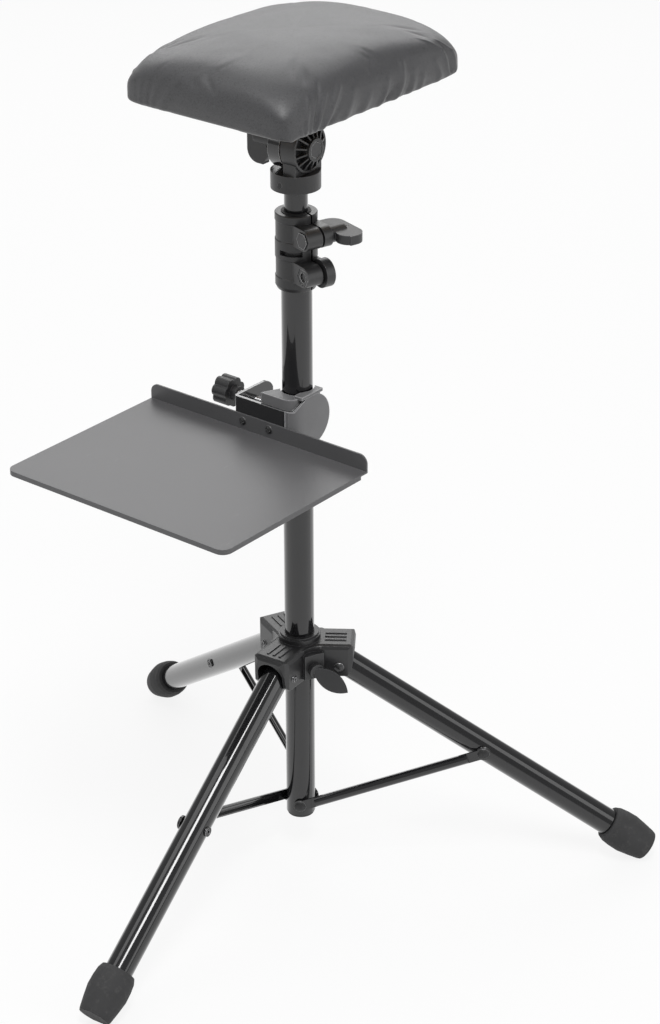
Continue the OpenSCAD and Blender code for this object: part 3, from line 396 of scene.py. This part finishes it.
def rubber_finish(name, colour, dusty=0.5):
    """Moulded rubber: matt, mottled, with scuffs of pale dust."""
    f = Finish(name, Specular_IOR_Level=0.35)
    pores = f.cells(1100.0)
    mottle = f.grain(55.0, 5.0, 0.65)
    scuff = f.steps(f.grain(140.0, 5.0, 0.7), 0.55, 0.75)
    body = f.blend(mottle, shade(colour, 0.75), shade(colour, 1.4))
    f.give("Base Color", f.blend(scuff * dusty * 0.5, body, FLOOR_DUST))
    f.give("Roughness", 0.66 + 0.14 * mottle)
    f.give("Normal", f.bump(pores + mottle, 0.1 * MM, 0.5, f.soft_edges(ROUND_EDGE)))
    return f.material


def metal_finish(name, colour, rough=0.28, dull=0.25, brightened=0.0):
    """Plated steel: crystalline blotches, turned lines, softened and worn edges."""
    f = Finish(name, Specular_IOR_Level=0.5)
    blotch = f.cells(1700.0)
    smear = f.grain(120.0, 4.0, 0.6)
    lines = f.grain(900.0, 2.0, 0.5, f.place((0.15, 1, 1)))
    body = f.blend(blotch, shade(colour, 0.78), shade(colour, 1.08))
    body = f.blend(f.steps(smear, 0.5, 0.8) * dull, body, shade(colour, 0.45))
    if brightened:
        body = f.blend(f.wear_and_highlight_edges(0.9 * MM) * brightened, body, POLISHED_STEEL)
    f.give("Base Color", body)
    f.give("Metallic", 1.0 - 0.15 * smear)
    f.give("Roughness", rough + 0.14 * smear + 0.05 * lines)
    f.give("Normal", f.bump(lines, 0.03 * MM, 0.35, f.soft_edges(FINE_EDGE)))
    return f.material


def vinyl_finish(pad):
    """Upholstery vinyl: pebbled hide grain with fine pores."""
    f = Finish(
        "upholstery_vinyl",
        Specular_IOR_Level=0.5,
        Sheen_Weight=0.10,
        Sheen_Roughness=0.45,
        Coat_Roughness=0.35,
    )
    wide = f.grain(7.0, 3.0, 0.5)
    here = f.place()
    swirl = f.node("ShaderNodeTexNoise", {}, {"Vector": here, "Scale": 160.0}, output=1)
    bent = f.node(
        "ShaderNodeMix",
        {"data_type": "VECTOR"},
        {0: 0.012, 4: here, 5: swirl},
        output=1,
    )
    pebble = f.cells(620.0, "DISTANCE_TO_EDGE", bent)
    shaded_groove = f.steps(pebble, 0.0, 0.11)
    pores = f.grain(3400.0, 2.0, 0.5)
    body = f.blend(wide, shade(pad.vinyl, 0.86), shade(pad.vinyl, 1.18))
    # Grain's grooves painted darker: painted shade in the recesses
    f.give("Base Color", f.blend(shaded_groove, shade(pad.vinyl, 0.55), body))
    f.give("Roughness", 0.46 + 0.06 * wide - 0.07 * shaded_groove)
    f.give("Coat Weight", 0.05 + 0.05 * wide)
    fine = f.bump(pores, 0.03 * MM, 0.3)
    f.give("Normal", f.bump(shaded_groove, 0.09 * MM, 0.5, fine))
    return f.material


def plywood_finish():
    """Birch plywood: long figure on the faces, stacked plies on the edges."""
    f = Finish("plywood_board", Specular_IOR_Level=0.3)
    figure = f.grain(38.0, 5.0, 0.65, f.place((1, 0.08, 1)), 1.2)
    fibre = f.grain(700.0, 3.0, 0.6, f.place((1, 0.04, 1)))
    plies = f.node(
        "ShaderNodeTexWave",
        {"wave_type": "BANDS", "bands_direction": "Z"},
        {"Vector": f.place(), "Scale": 105.0, "Distortion": 0.4},
    )
    face = f.ramp(
        figure,
        [(0.3, (0.42, 0.27, 0.14, 1.0)), (0.7, (0.66, 0.48, 0.29, 1.0))],
    )
    f.give("Base Color", f.blend(0.35 * plies, face, (0.30, 0.18, 0.09, 1.0)))
    f.give("Roughness", 0.6 + 0.15 * fibre)
    f.give("Normal", f.bump(fibre, 0.1 * MM, 0.4))
    return f.material


def fibre_finish():
    """Pressed fibre washer: short flecks."""
    f = Finish("pressed_fibre", Specular_IOR_Level=0.2)
    fleck = f.grain(900.0, 4.0, 0.7, f.place((0.3, 1, 1)))
    f.give(
        "Base Color",
        f.ramp(fleck, [(0.35, (0.12, 0.08, 0.05, 1)), (0.65, (0.34, 0.25, 0.16, 1))]),
    )
    f.give("Roughness", 0.75 + 0.15 * fleck)
    f.give("Normal", f.bump(fleck, 0.1 * MM, 0.5))
    return f.material


def per_leg(stem):
    return [stem + name for name in LEG_NAMES]


def dress(names, material):
    """Puts one finish on CAD nodes."""
    for name in names:
        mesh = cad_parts[name].data
        mesh.materials.clear()
        mesh.materials.append(material)


def smooth_faces(mesh):
    for polygon in mesh.polygons:
        polygon.use_smooth = True


def new_piece(name, points, faces, material):
    mesh = bpy.data.meshes.new(name)
    mesh.from_pydata([tuple(p) for p in points], [], faces)
    mesh.update()
    smooth_faces(mesh)
    mesh.materials.append(material)
    piece = bpy.data.objects.new(name, mesh)
    bpy.context.scene.collection.objects.link(piece)
    return piece


def settings():
    return bpy.context.scene.arm_rest


class StandOperator(bpy.types.Operator):
    """Base of the stand's operators"""

    bl_options = {"REGISTER", "UNDO"}


# Hard pieces

class ARMREST_OT_tubes(StandOperator):
    """Lacquers the mast, the inner post, the legs, the braces and the two steel brackets"""

    bl_idname = "armrest.tubes"
    bl_label = "Lacquered steel"

    def execute(self, context):
        paint = settings().paint
        tubes = ["mast_tube", "inner_post"] + per_leg("leg_tube_") + per_leg("brace_")
        dress(tubes, lacquer_finish("gloss_lacquer", paint))
        brackets = ["tray_bracket", "head_bracket"]
        dress(brackets, lacquer_finish("bracket_lacquer", paint, 0.8))
        return {"FINISHED"}


class ARMREST_OT_mouldings(StandOperator):
    """Gives the hub, collar, head, knobs and inner plastic pieces their moulded finish"""

    bl_idname = "armrest.mouldings"
    bl_label = "Moulded plastics"

    def execute(self, context):
        paint = settings().paint
        dress(
            ["hub_body", "collar_body", "head_socket", "clamp_foot"],
            plastic_finish("satin_plastic", paint.plastic, 0.36, 0.25),
        )
        dress(
            ["collar_knob", "tilt_knob", "hub_wing_screw", "clamp_knob"],
            plastic_finish("knob_plastic", shade(paint.plastic, 1.3), 0.42, 0.1),
        )
        inner = ["mast_plug", "post_bush", "post_guide"] + per_leg("leg_plug_")
        dress(inner, plastic_finish("inner_plastic", shade(paint.plastic, 0.6), 0.6))
        dress(["clamp_cradle"], plastic_finish("cradle_plastic", paint.cradle, 0.45, 0.1))
        return {"FINISHED"}


class ARMREST_OT_rubbers(StandOperator):
    """Gives the feet, the clamp sleeve and the brake pad their rubber"""

    bl_idname = "armrest.rubbers"
    bl_label = "Rubber pieces"

    def execute(self, context):
        paint = settings().paint
        dress(per_leg("leg_foot_"), rubber_finish("foot_rubber", paint.rubber))
        dress(
            ["clamp_sleeve", "hub_brake_pad"],
            rubber_finish("black_rubber", shade(paint.rubber, 0.5), 0.2),
        )
        return {"FINISHED"}


class ARMREST_OT_fasteners(StandOperator):
    """Plates the bolts, nuts, rivets and pins"""

    bl_idname = "armrest.fasteners"
    bl_label = "Fasteners"

    def execute(self, context):
        zinc = settings().paint.zinc
        bright = ["tray_nuts", "bracket_screws", "clamp_screw"]
        dress(bright, metal_finish("zinc_plate", zinc, 0.26, 0.25))
        dark = ["collar_hex_bolt", "collar_pinch_bolt", "collar_pinch_nut", "tilt_bolt"]
        dark += ["leg_bolts", "leg_nuts"] + per_leg("leg_rivet_")
        dress(dark, metal_finish("black_oxide_steel", shade(zinc, 0.14), 0.34, 0.4, 0.85))
        dull = ["head_post_pin", "brace_mast_rivets", "tray_screws"] + per_leg("brace_rivet_")
        dress(dull, metal_finish("blackened_steel", shade(zinc, 0.10), 0.42, 0.4, 0.3))
        dress(["hub_insert"], metal_finish("brass", (0.72, 0.52, 0.22), 0.3, 0.3))
        dress(["tilt_washer"], fibre_finish())
        return {"FINISHED"}


class ARMREST_OT_tray(StandOperator):
    """Powder-coats the tray"""

    bl_idname = "armrest.tray"
    bl_label = "Tray"

    def execute(self, context):
        dress(["tray_plate"], tray_finish(settings().paint))
        return {"FINISHED"}


THREAD_SIDES = 20
THREAD_RINGS_PER_TURN = 4
THREAD_CHAMFER = 0.8 * MM


class ARMREST_OT_clamp_thread(StandOperator):
    """Cuts a real thread on the bright clamp screw"""

    bl_idname = "armrest.clamp_thread"
    bl_label = "Clamp screw thread"

    def execute(self, context):
        screw = settings().screw
        low, high = SCREW_LOW, SCREW_HIGH
        radius = (high.y - low.y) / 2
        mid_y, mid_z = (high.y + low.y) / 2, (high.z + low.z) / 2
        length = high.x - low.x
        around = THREAD_SIDES
        rings = int(length / screw.pitch * THREAD_RINGS_PER_TURN)
        points, faces = [], []
        for i in range(rings + 1):
            along = length * i / rings
            from_end = min(along, length - along)
            fade = min(1.0, from_end / (2 * screw.pitch))
            for k in range(around):
                turn = k / around
                wave = (along / screw.pitch + turn) % 1.0
                tooth = 1.0 - abs(2.0 * wave - 1.0)
                r = radius - screw.depth * (1.0 - tooth) * fade
                r -= max(0.0, THREAD_CHAMFER - from_end)
                angle = 2 * math.pi * turn
                points.append(
                    (low.x + along, mid_y + r * math.cos(angle), mid_z + r * math.sin(angle))
                )
        for i in range(rings):
            for k in range(around):
                a, b = i * around + k, i * around + (k + 1) % around
                faces.append((a, a + around, b + around, b))
        faces.append(tuple(range(around)))
        faces.append(tuple(reversed(range(rings * around, (rings + 1) * around))))
        plate = metal_finish("bright_zinc_thread", settings().paint.zinc, 0.22, 0.15)
        piece = new_piece("clamp_screw_thread", points, faces, plate)
        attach(piece, "screw")
        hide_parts("clamp_screw")
        return {"FINISHED"}


# Upholstery

# Height of the widest line above the rest's underside
MIDDLE_HEIGHT = 6 * MM
# Powers of the rounded shoulders, of the outline's corners and of the crown
SIDE_POWER = 7
CORNER_POWER = 16
CROWN_POWER = 2.2
# Shares of the outline: rings of the flat lip under the board, out to where the side starts
LIP_SHARES = (0.8, 0.85, 0.89, 0.93)
SIDE_SHARE = LIP_SHARES[-1]
SIDE_RINGS = 6
TOP_RINGS = 40
COVER_ANGLES = 300
# Rings from the lip's inner edge that the board holds still in the simulation
HELD_RINGS = len(LIP_SHARES) + 2


class RestForm:
    """The crowned form of the padded rest, in metres, with its middle on the mast's axis."""

    def __init__(self, pad, inset=0.0):
        self.half_x = (REST_HIGH.x - REST_LOW.x) / 2
        self.half_y = (REST_HIGH.y - REST_LOW.y) / 2
        self.base = REST_LOW.z
        self.height = REST_HIGH.z - REST_LOW.z
        self.pad = pad
        self.inset = inset

    def reach(self, angle):
        cx = abs(math.cos(angle)) / (self.half_x - self.inset)
        cy = abs(math.sin(angle)) / (self.half_y - self.inset)
        return (cx**CORNER_POWER + cy**CORNER_POWER) ** (-1 / CORNER_POWER)

    def crown(self, x, y):
        u, v = abs(x) / self.half_x, abs(y) / self.half_y
        fall = self.pad.crown_x * u**CROWN_POWER + self.pad.crown_y * v**CROWN_POWER
        return self.height - fall - self.pad.corner_drop * (u * v) ** 4

    def low(self, angle, share, z):
        r = share * self.reach(angle)
        return Vector((r * math.cos(angle), r * math.sin(angle), self.base + z))

    def lift(self, share):
        return (1 - min(share, 1.0) ** SIDE_POWER) ** (1 / SIDE_POWER)

    def top(self, angle, share):
        r = share * self.reach(angle)
        x, y = r * math.cos(angle), r * math.sin(angle)
        rise = (self.crown(x, y) - self.inset - MIDDLE_HEIGHT) * self.lift(share)
        return Vector((x, y, self.base + MIDDLE_HEIGHT + rise))

    def side(self, angle, t):
        """The turned-under edge from the flat below, t = 0, to the widest line, t = 1."""
        share = SIDE_SHARE + (1 - SIDE_SHARE) * math.sin(t * math.pi / 2) ** 0.8
        up = (MIDDLE_HEIGHT - self.inset) * (1 - math.cos(t * math.pi / 2))
        return self.low(angle, share, self.inset + up)

    def outline(self):
        """Fine steps of angle round the outline, and the length run at each."""
        fine = [2 * math.pi * i / 2000 for i in range(2001)]
        spots = [self.low(a, 1.0, 0.0) for a in fine]
        run = [0.0]
        for p, q in zip(spots, spots[1:]):
            run.append(run[-1] + (q - p).length)
        return fine, run


def perimeter_angles(form, count):
    """Angles that step evenly along the outline."""
    fine, run = form.outline()
    return list(np.interp(np.linspace(0, run[-1], count, endpoint=False), run, fine))


def profile_shares(form, count):
    """Shares that step from the widest line up the wall, closely, and in to the apex."""
    shares = [1 - (i / 3000) ** 6 for i in range(3001)]
    wide = (form.half_x + form.half_y) / 2
    run = [0.0]
    for p, q in zip(shares, shares[1:]):
        rise = form.height * (form.lift(q) - form.lift(p))
        run.append(run[-1] + math.hypot(wide * (p - q), rise) * (0.5 + 1.2 * q**6))
    return list(np.interp(np.linspace(0, run[-1], count + 1), run, shares))[1:-1]


def rest_rings(form, angles):
    """Rings from the lip's inner edge, out, round the side and up to near the apex."""
    rings = [[form.low(a, share, form.inset) for a in angles] for share in LIP_SHARES]
    for t in np.linspace(0, 1, SIDE_RINGS + 1)[1:]:
        rings.append([form.side(a, t) for a in angles])
    for share in profile_shares(form, TOP_RINGS):
        rings.append([form.top(a, share) for a in angles])
    return rings


def skin(rings, apex):
    """Points and faces of a closed-topped skin over rings of equal length."""
    points = [p for ring in rings for p in ring] + [apex]
    n = len(rings[0])
    faces = []
    for i in range(len(rings) - 1):
        for k in range(n):
            a, b = i * n + k, i * n + (k + 1) % n
            faces.append((a, b, b + n, a + n))
    last = (len(rings) - 1) * n
    for k in range(n):
        faces.append((last + k, last + (k + 1) % n, len(points) - 1))
    return points, faces


STUFFING_PRESSURE = 4.0
STUFFING_FRAMES = 16
COVER_STRETCH = 20
COVER_BENDING = 2.0


def inflate(piece, held, cap):
    """Stuffs the cover: a short cloth simulation under pressure, each point's move capped."""
    start = np.array([v.co for v in piece.data.vertices])
    group = piece.vertex_groups.new(name="held")
    for i in np.nonzero(held)[0]:
        group.add([int(i)], 1.0, "REPLACE")
    cloth = piece.modifiers.new("stuffing", "CLOTH")
    cloth.settings.use_pressure = True
    cloth.settings.uniform_pressure_force = STUFFING_PRESSURE
    cloth.settings.vertex_group_mass = "held"
    cloth.settings.tension_stiffness = COVER_STRETCH
    cloth.settings.compression_stiffness = COVER_STRETCH
    cloth.settings.bending_stiffness = COVER_BENDING
    cloth.settings.effector_weights.gravity = 0.0
    cloth.point_cache.frame_start = 1
    cloth.point_cache.frame_end = STUFFING_FRAMES
    scene = bpy.context.scene
    for number in range(1, STUFFING_FRAMES + 1):
        scene.frame_set(number)
    ready = piece.evaluated_get(bpy.context.evaluated_depsgraph_get())
    moved = np.array([v.co for v in ready.data.vertices])
    piece.modifiers.remove(cloth)
    scene.frame_set(1)
    step = moved - start
    length = np.linalg.norm(step, axis=1, keepdims=True)
    step *= np.minimum(1.0, cap / np.maximum(length, 1e-9))
    step[held] = 0.0
    for vertex, place in zip(piece.data.vertices, start + step):
        vertex.co = place
    piece.vertex_groups.clear()


# Folds of the cover in millimetres: run along the outline from the near corner and height
# above the hem at one end, the same at the other end, then width and rise
FOLDS = (
    (16, 1, 13, 11, 1.6, 1.1),
    (19, 3, 22, 30, 2.0, 1.4),
    (25, 1, 31, 28, 2.2, 1.4),
    (30, 2, 43, 31, 2.3, 1.6),
    (38, 1, 60, 32, 3.2, 2.4),
    (29, 8, 35, 37, 2.6, -2.0),
    (46, 3, 64, 22, 3.0, -1.2),
    (68, 4, 76, 25, 5.0, 1.6),
    (82, 2, 85, 14, 5.0, -1.0),
    (92, 4, 96, 17, 4.2, 1.1),
    (112, 2, 119, 22, 3.4, 2.1),
    (123, 6, 129, 15, 3.2, -2.0),
    (134, 1, 141, 31, 3.6, 2.2),
    (147, 4, 149, 18, 3.2, -1.0),
    (154, 2, 153, 20, 4.0, 1.2),
    (167, 3, 166, 15, 3.4, 1.1),
    (192, 4, 185, 21, 3.6, 1.4),
    (186, 41, 197, 28, 1.6, 1.0),
    (197, 28, 205, 5, 1.8, 1.1),
    (204, 34, 212, 24, 1.6, 1.0),
    (212, 24, 216, 5, 1.8, 1.1),
    (207, 9, 202, 30, 3.0, -1.1),
)

# Hem line on both sides of the near corner, in the same columns
HEM = (
    (-46, 2.2, -14, 2.2, 0.9, 0.7),
    (12, 2.0, 34, 2.2, 0.9, 0.6),
)

# The same folds at the four corners, in turn from the near one: their share of the full rise,
# and how far from the corner the last fold starts
CORNER_FOLDS = ((1.0, math.inf), (0.7, 60), (0.85, math.inf), (0.25, 60))
# Share of the outline where folds start under the rest, and over how much they grow
FOLD_FROM, FOLD_GROW = 0.84, 0.08
TUCK_FROM = 0.9
# Height in millimetres over which folds gain their full rise and the corner's tuck ends
HEM_HEIGHT = 7
# Depth, place and half width of the tuck at the near corner, in millimetres
TUCK_DEPTH, TUCK_AT, TUCK_WIDE = 3.2, 4, 4.5
# Waves of the cover per metre and their height
WOBBLES = ((22.0, 0.7 * MM), (60.0, 0.2 * MM))
WOBBLE_HEIGHT = 20 * MM


def fold_rise(run, height, total, folds, origin, share, last=math.inf):
    """Rise of the cover along folds: a soft ridge or valley round each fold's line."""
    rise = np.zeros(len(run))
    for at, low, to, high, wide, full in folds:
        if at > last:
            continue
        near = (run - origin - at + total / 2) % total - total / 2
        up = height - low
        along_x, along_y = to - at, high - low
        length = along_x**2 + along_y**2
        t = np.clip((near * along_x + up * along_y) / length, 0.0, 1.0)
        away = np.hypot(near - t * along_x, up - t * along_y)
        rise += share * full * (1 - 0.45 * t) * np.exp(-((away / wide) ** 2))
    return rise


class ARMREST_OT_rest_cover(StandOperator):
    """Makes the stuffed vinyl cover with its crown, rounded shoulders, folds and corner fans"""

    bl_idname = "armrest.rest_cover"
    bl_label = "Rest cover"

    def execute(self, context):
        pad = settings().pad
        inset = pad.swell * 0.6
        form = RestForm(pad, inset)
        angles = perimeter_angles(form, COVER_ANGLES)
        points, faces = skin(rest_rings(form, angles), form.top(0.0, 0.0))
        piece = new_piece("rest_cover", points, faces, vinyl_finish(pad))
        held = np.zeros(len(points), bool)
        held[: HELD_RINGS * COVER_ANGLES] = True
        inflate(piece, held, pad.swell)
        self.subdivide(piece)
        self.crease(piece, form, pad.fold)
        piece.data.validate()
        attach(piece, "rest")
        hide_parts("pad_cover", "pad_foam")
        return {"FINISHED"}

    def subdivide(self, piece):
        smooth = piece.modifiers.new("finer", "SUBSURF")
        smooth.levels = smooth.render_levels = 1
        ready = piece.evaluated_get(bpy.context.evaluated_depsgraph_get())
        mesh = bpy.data.meshes.new_from_object(ready)
        piece.modifiers.clear()
        old = piece.data
        piece.data = mesh
        bpy.data.meshes.remove(old)
        smooth_faces(mesh)

    def crease(self, piece, form, share):
        """Raises the folds, tucks the near corner in and gives the cover its slight waves."""
        fine, run = form.outline()
        mesh = piece.data
        mesh.update()
        spots = np.array([v.co for v in mesh.vertices])
        angle = np.arctan2(spots[:, 1], spots[:, 0]) % (2 * math.pi)
        here = np.interp(angle, fine, run) / MM
        height = (spots[:, 2] - form.base) / MM
        flat = np.hypot(spots[:, 0], spots[:, 1])
        side = flat / np.array([form.reach(a) for a in angle])
        total = run[-1] / MM
        corner = math.atan2(form.half_y, form.half_x)
        turns = (-corner, corner, math.pi - corner, math.pi + corner)
        origins = [float(np.interp(a % (2 * math.pi), fine, run)) / MM for a in turns]
        rise = fold_rise(here, height, total, HEM, origins[0], 1.0)
        for origin, (part, last) in zip(origins, CORNER_FOLDS):
            rise += fold_rise(here, height, total, FOLDS, origin, part, last)
        rise *= np.clip((side - FOLD_FROM) / FOLD_GROW, 0.0, 1.0) * share
        rise *= np.clip(height / HEM_HEIGHT, 0.3, 1.0)
        near = (here - origins[0] + total / 2) % total - total / 2
        tuck = TUCK_DEPTH * np.exp(-(((near - TUCK_AT) / TUCK_WIDE) ** 2))
        tuck *= np.clip(1 - height / HEM_HEIGHT, 0.0, 1.0)
        tuck *= np.clip((side - TUCK_FROM) / FOLD_GROW, 0.0, 1.0)
        normals = [v.normal.copy() for v in mesh.vertices]
        for vertex, normal, up, down in zip(mesh.vertices, normals, rise, tuck):
            wobble = sum(noise.noise(vertex.co * waves) * high for waves, high in WOBBLES)
            top = max(0.0, min(1.0, (vertex.co.z - form.base) / WOBBLE_HEIGHT))
            vertex.co += normal * (wobble * top + float(up) * MM)
            vertex.co.z -= float(down) * MM


STAPLE_COUNT = 34
STAPLE_SHARE = 0.865
STAPLE_SIZE = (10.5 * MM, 1.2 * MM, 0.6 * MM)
STAPLE_SINK = Vector((0, 0, -0.2 * MM))
STAPLE_ROUND = 0.2 * MM


class ARMREST_OT_rest_under(StandOperator):
    """Shows the board and the staples under the rest"""

    bl_idname = "armrest.rest_under"
    bl_label = "Board and staples"

    def execute(self, context):
        dress(["base_board"], plywood_finish())
        wire = metal_finish("staple_wire", settings().paint.zinc, 0.25, 0.1)
        form = RestForm(settings().pad)
        bm = bmesh.new()
        for angle in perimeter_angles(form, STAPLE_COUNT):
            spot = form.low(angle, STAPLE_SHARE, 0.0)
            along = form.low(angle + 0.01, STAPLE_SHARE, 0.0) - spot
            turn = Matrix.Rotation(math.atan2(along.y, along.x), 4, "Z")
            made = bmesh.ops.create_cube(bm, size=1.0)["verts"]
            bmesh.ops.scale(bm, vec=STAPLE_SIZE, verts=made)
            where = Matrix.Translation(spot + STAPLE_SINK) @ turn
            bmesh.ops.transform(bm, matrix=where, verts=made)
        edges = list(bm.edges)
        bmesh.ops.bevel(bm, geom=edges, offset=STAPLE_ROUND, segments=2, affect="EDGES")
        mesh = bpy.data.meshes.new("hem_staples")
        bm.to_mesh(mesh)
        bm.free()
        mesh.materials.append(wire)
        smooth_faces(mesh)
        piece = bpy.data.objects.new("hem_staples", mesh)
        context.scene.collection.objects.link(piece)
        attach(piece, "rest")
        return {"FINISHED"}


# Stage

# Softboxes: name, place, width, height and power
LAMPS = (
    ("overhead_strip", (0.95, -0.9, 2.9), 0.7, 1.3, 46.0),
    ("back_softbox", (-1.75, 2.2, 2.1), 3.2, 1.8, 44.0),
    ("top_softbox", (-1.0, -0.8, 2.9), 1.8, 1.8, 14.0),
    ("front_left", (-1.6, -2.2, 1.9), 1.4, 1.4, 5.0),
    ("right_fill", (2.4, 0.6, 1.3), 1.2, 2.0, 11.0),
)
LAMP_TARGET = Vector((0.0, 0.0, 0.4))
# The camera's target: beside the mast, to the right of it in the view, and its height
TARGET_RIGHT = 0.02743
TARGET_HEIGHT = 0.34935
CAMERA_ROLL = math.radians(-0.14)
# The floor: half its side, its corners, and how white the camera and the gloss see it
FLOOR_HALF = 30.0
SQUARE = ((-1, -1), (1, -1), (1, 1), (-1, 1))
FLOOR_GLOW = 0.86


def light(name, place, width, height, power):
    lamp = bpy.data.lights.new(name, "AREA")
    lamp.energy = power
    lamp.shape = "RECTANGLE"
    lamp.size = width
    lamp.size_y = height
    made = bpy.data.objects.new(name, lamp)
    made.location = place
    made.rotation_euler = (LAMP_TARGET - made.location).to_track_quat("-Z", "Y").to_euler()
    bpy.context.scene.collection.objects.link(made)


class ARMREST_OT_stage(StandOperator):
    """Sets the pale floor, the soft studio light and the camera"""

    bl_idname = "armrest.stage"
    bl_label = "Stage"

    def execute(self, context):
        stage = settings().stage
        self.camera(context, stage)
        self.floor(context)
        self.room(context, stage)
        for lamp in LAMPS:
            light(*lamp)
        context.scene.view_settings.view_transform = "Standard"
        return {"FINISHED"}

    def camera(self, context, stage):
        a, e = stage.turn, stage.height
        back = Vector((math.sin(a) * math.cos(e), -math.cos(a) * math.cos(e), math.sin(e)))
        right = Vector((math.cos(a), math.sin(a), 0.0))
        up = back.cross(right)
        x = math.cos(CAMERA_ROLL) * right + math.sin(CAMERA_ROLL) * up
        y = math.cos(CAMERA_ROLL) * up - math.sin(CAMERA_ROLL) * right
        data = bpy.data.cameras.new("photo_camera")
        data.sensor_width = 36.0
        data.sensor_fit = "AUTO"
        data.lens = stage.focal
        made = bpy.data.objects.new("photo_camera", data)
        turn = Matrix((x, y, back)).transposed().to_4x4()
        target = right * TARGET_RIGHT + Vector((0.0, 0.0, TARGET_HEIGHT))
        made.matrix_world = Matrix.Translation(target + back * stage.distance) @ turn
        context.scene.collection.objects.link(made)
        context.scene.camera = made

    def floor(self, context):
        f = Finish("pale_floor", Roughness=0.6, Specular_IOR_Level=0.2)
        f.give(
            "Base Color",
            f.blend(f.grain(3.0, 2.0), (0.80, 0.80, 0.80, 1), (0.82, 0.82, 0.82, 1)),
        )
        seen = f.node("ShaderNodeLightPath") + f.node("ShaderNodeLightPath", output=3)
        glow = f.node("ShaderNodeEmission", {}, {"Color": WHITE, "Strength": 1.0})
        lit = Field(f, f.shader.outputs[0])
        mixed = f.node("ShaderNodeMixShader", {}, {0: seen * FLOOR_GLOW, 1: lit, 2: glow})
        f.feed(f.output.inputs["Surface"], mixed)
        corners = [(x * FLOOR_HALF, y * FLOOR_HALF, 0) for x, y in SQUARE]
        new_piece("floor", corners, [(0, 1, 2, 3)], f.material)

    def room(self, context, stage):
        """White to the camera, and a soft even light on the stand."""
        world = bpy.data.worlds.new("studio_room")
        world.use_nodes = True
        context.scene.world = world
        wiring = Wiring(world.node_tree)
        wiring.tree.nodes.clear()
        white, soft = [
            wiring.node("ShaderNodeBackground", {}, {"Color": WHITE, "Strength": strength})
            for strength in (1.0, stage.sky)
        ]
        seen = wiring.node("ShaderNodeLightPath")
        mixed = wiring.node("ShaderNodeMixShader", {}, {0: seen, 1: soft, 2: white})
        out = wiring.tree.nodes.new("ShaderNodeOutputWorld")
        wiring.feed(out.inputs["Surface"], mixed)


# Panel

class ArmRestSettings(bpy.types.PropertyGroup):
    """All settings of the arm rest stand"""

    paint: bpy.props.PointerProperty(
        name="Paint", description="Colours of the hard finishes", type=ArmRestPaint
    )
    pad: bpy.props.PointerProperty(
        name="Rest", description="The padded rest", type=ArmRestPad
    )
    screw: bpy.props.PointerProperty(
        name="Screw", description="The clamp screw", type=ArmRestScrew
    )
    stage: bpy.props.PointerProperty(
        name="Stage", description="Camera and light", type=ArmRestStage
    )


OPERATORS = (
    ARMREST_OT_stage,
    ARMREST_OT_tubes,
    ARMREST_OT_mouldings,
    ARMREST_OT_rubbers,
    ARMREST_OT_fasteners,
    ARMREST_OT_tray,
    ARMREST_OT_clamp_thread,
    ARMREST_OT_rest_cover,
    ARMREST_OT_rest_under,
)


class ARMREST_PT_panel(bpy.types.Panel):
    """Lists the stand's operators and settings"""

    bl_label = "Arm rest stand"
    bl_idname = "ARMREST_PT_panel"
    bl_space_type = "VIEW_3D"
    bl_region_type = "UI"
    bl_category = "Arm rest"

    def draw(self, context):
        for operator in OPERATORS:
            self.layout.operator(operator.bl_idname)
        for group in (settings().paint, settings().pad, settings().screw, settings().stage):
            box = self.layout.box()
            for key in group.bl_rna.properties.keys():
                if key not in ("rna_type", "name"):
                    box.prop(group, key)


CLASSES = (
    ArmRestPaint,
    ArmRestPad,
    ArmRestScrew,
    ArmRestStage,
    ArmRestSettings,
) + OPERATORS + (ARMREST_PT_panel,)


def register():
    for cls in CLASSES:
        bpy.utils.register_class(cls)
    bpy.types.Scene.arm_rest = bpy.props.PointerProperty(
        name="Arm rest stand", description="Settings of the stand", type=ArmRestSettings
    )


def unregister():
    del bpy.types.Scene.arm_rest
    for cls in reversed(CLASSES):
        bpy.utils.unregister_class(cls)


def main():
    register()
    for operator in OPERATORS:
        group, name = operator.bl_idname.split(".")
        getattr(getattr(bpy.ops, group), name)()


if __name__ == "__main__":
    main()
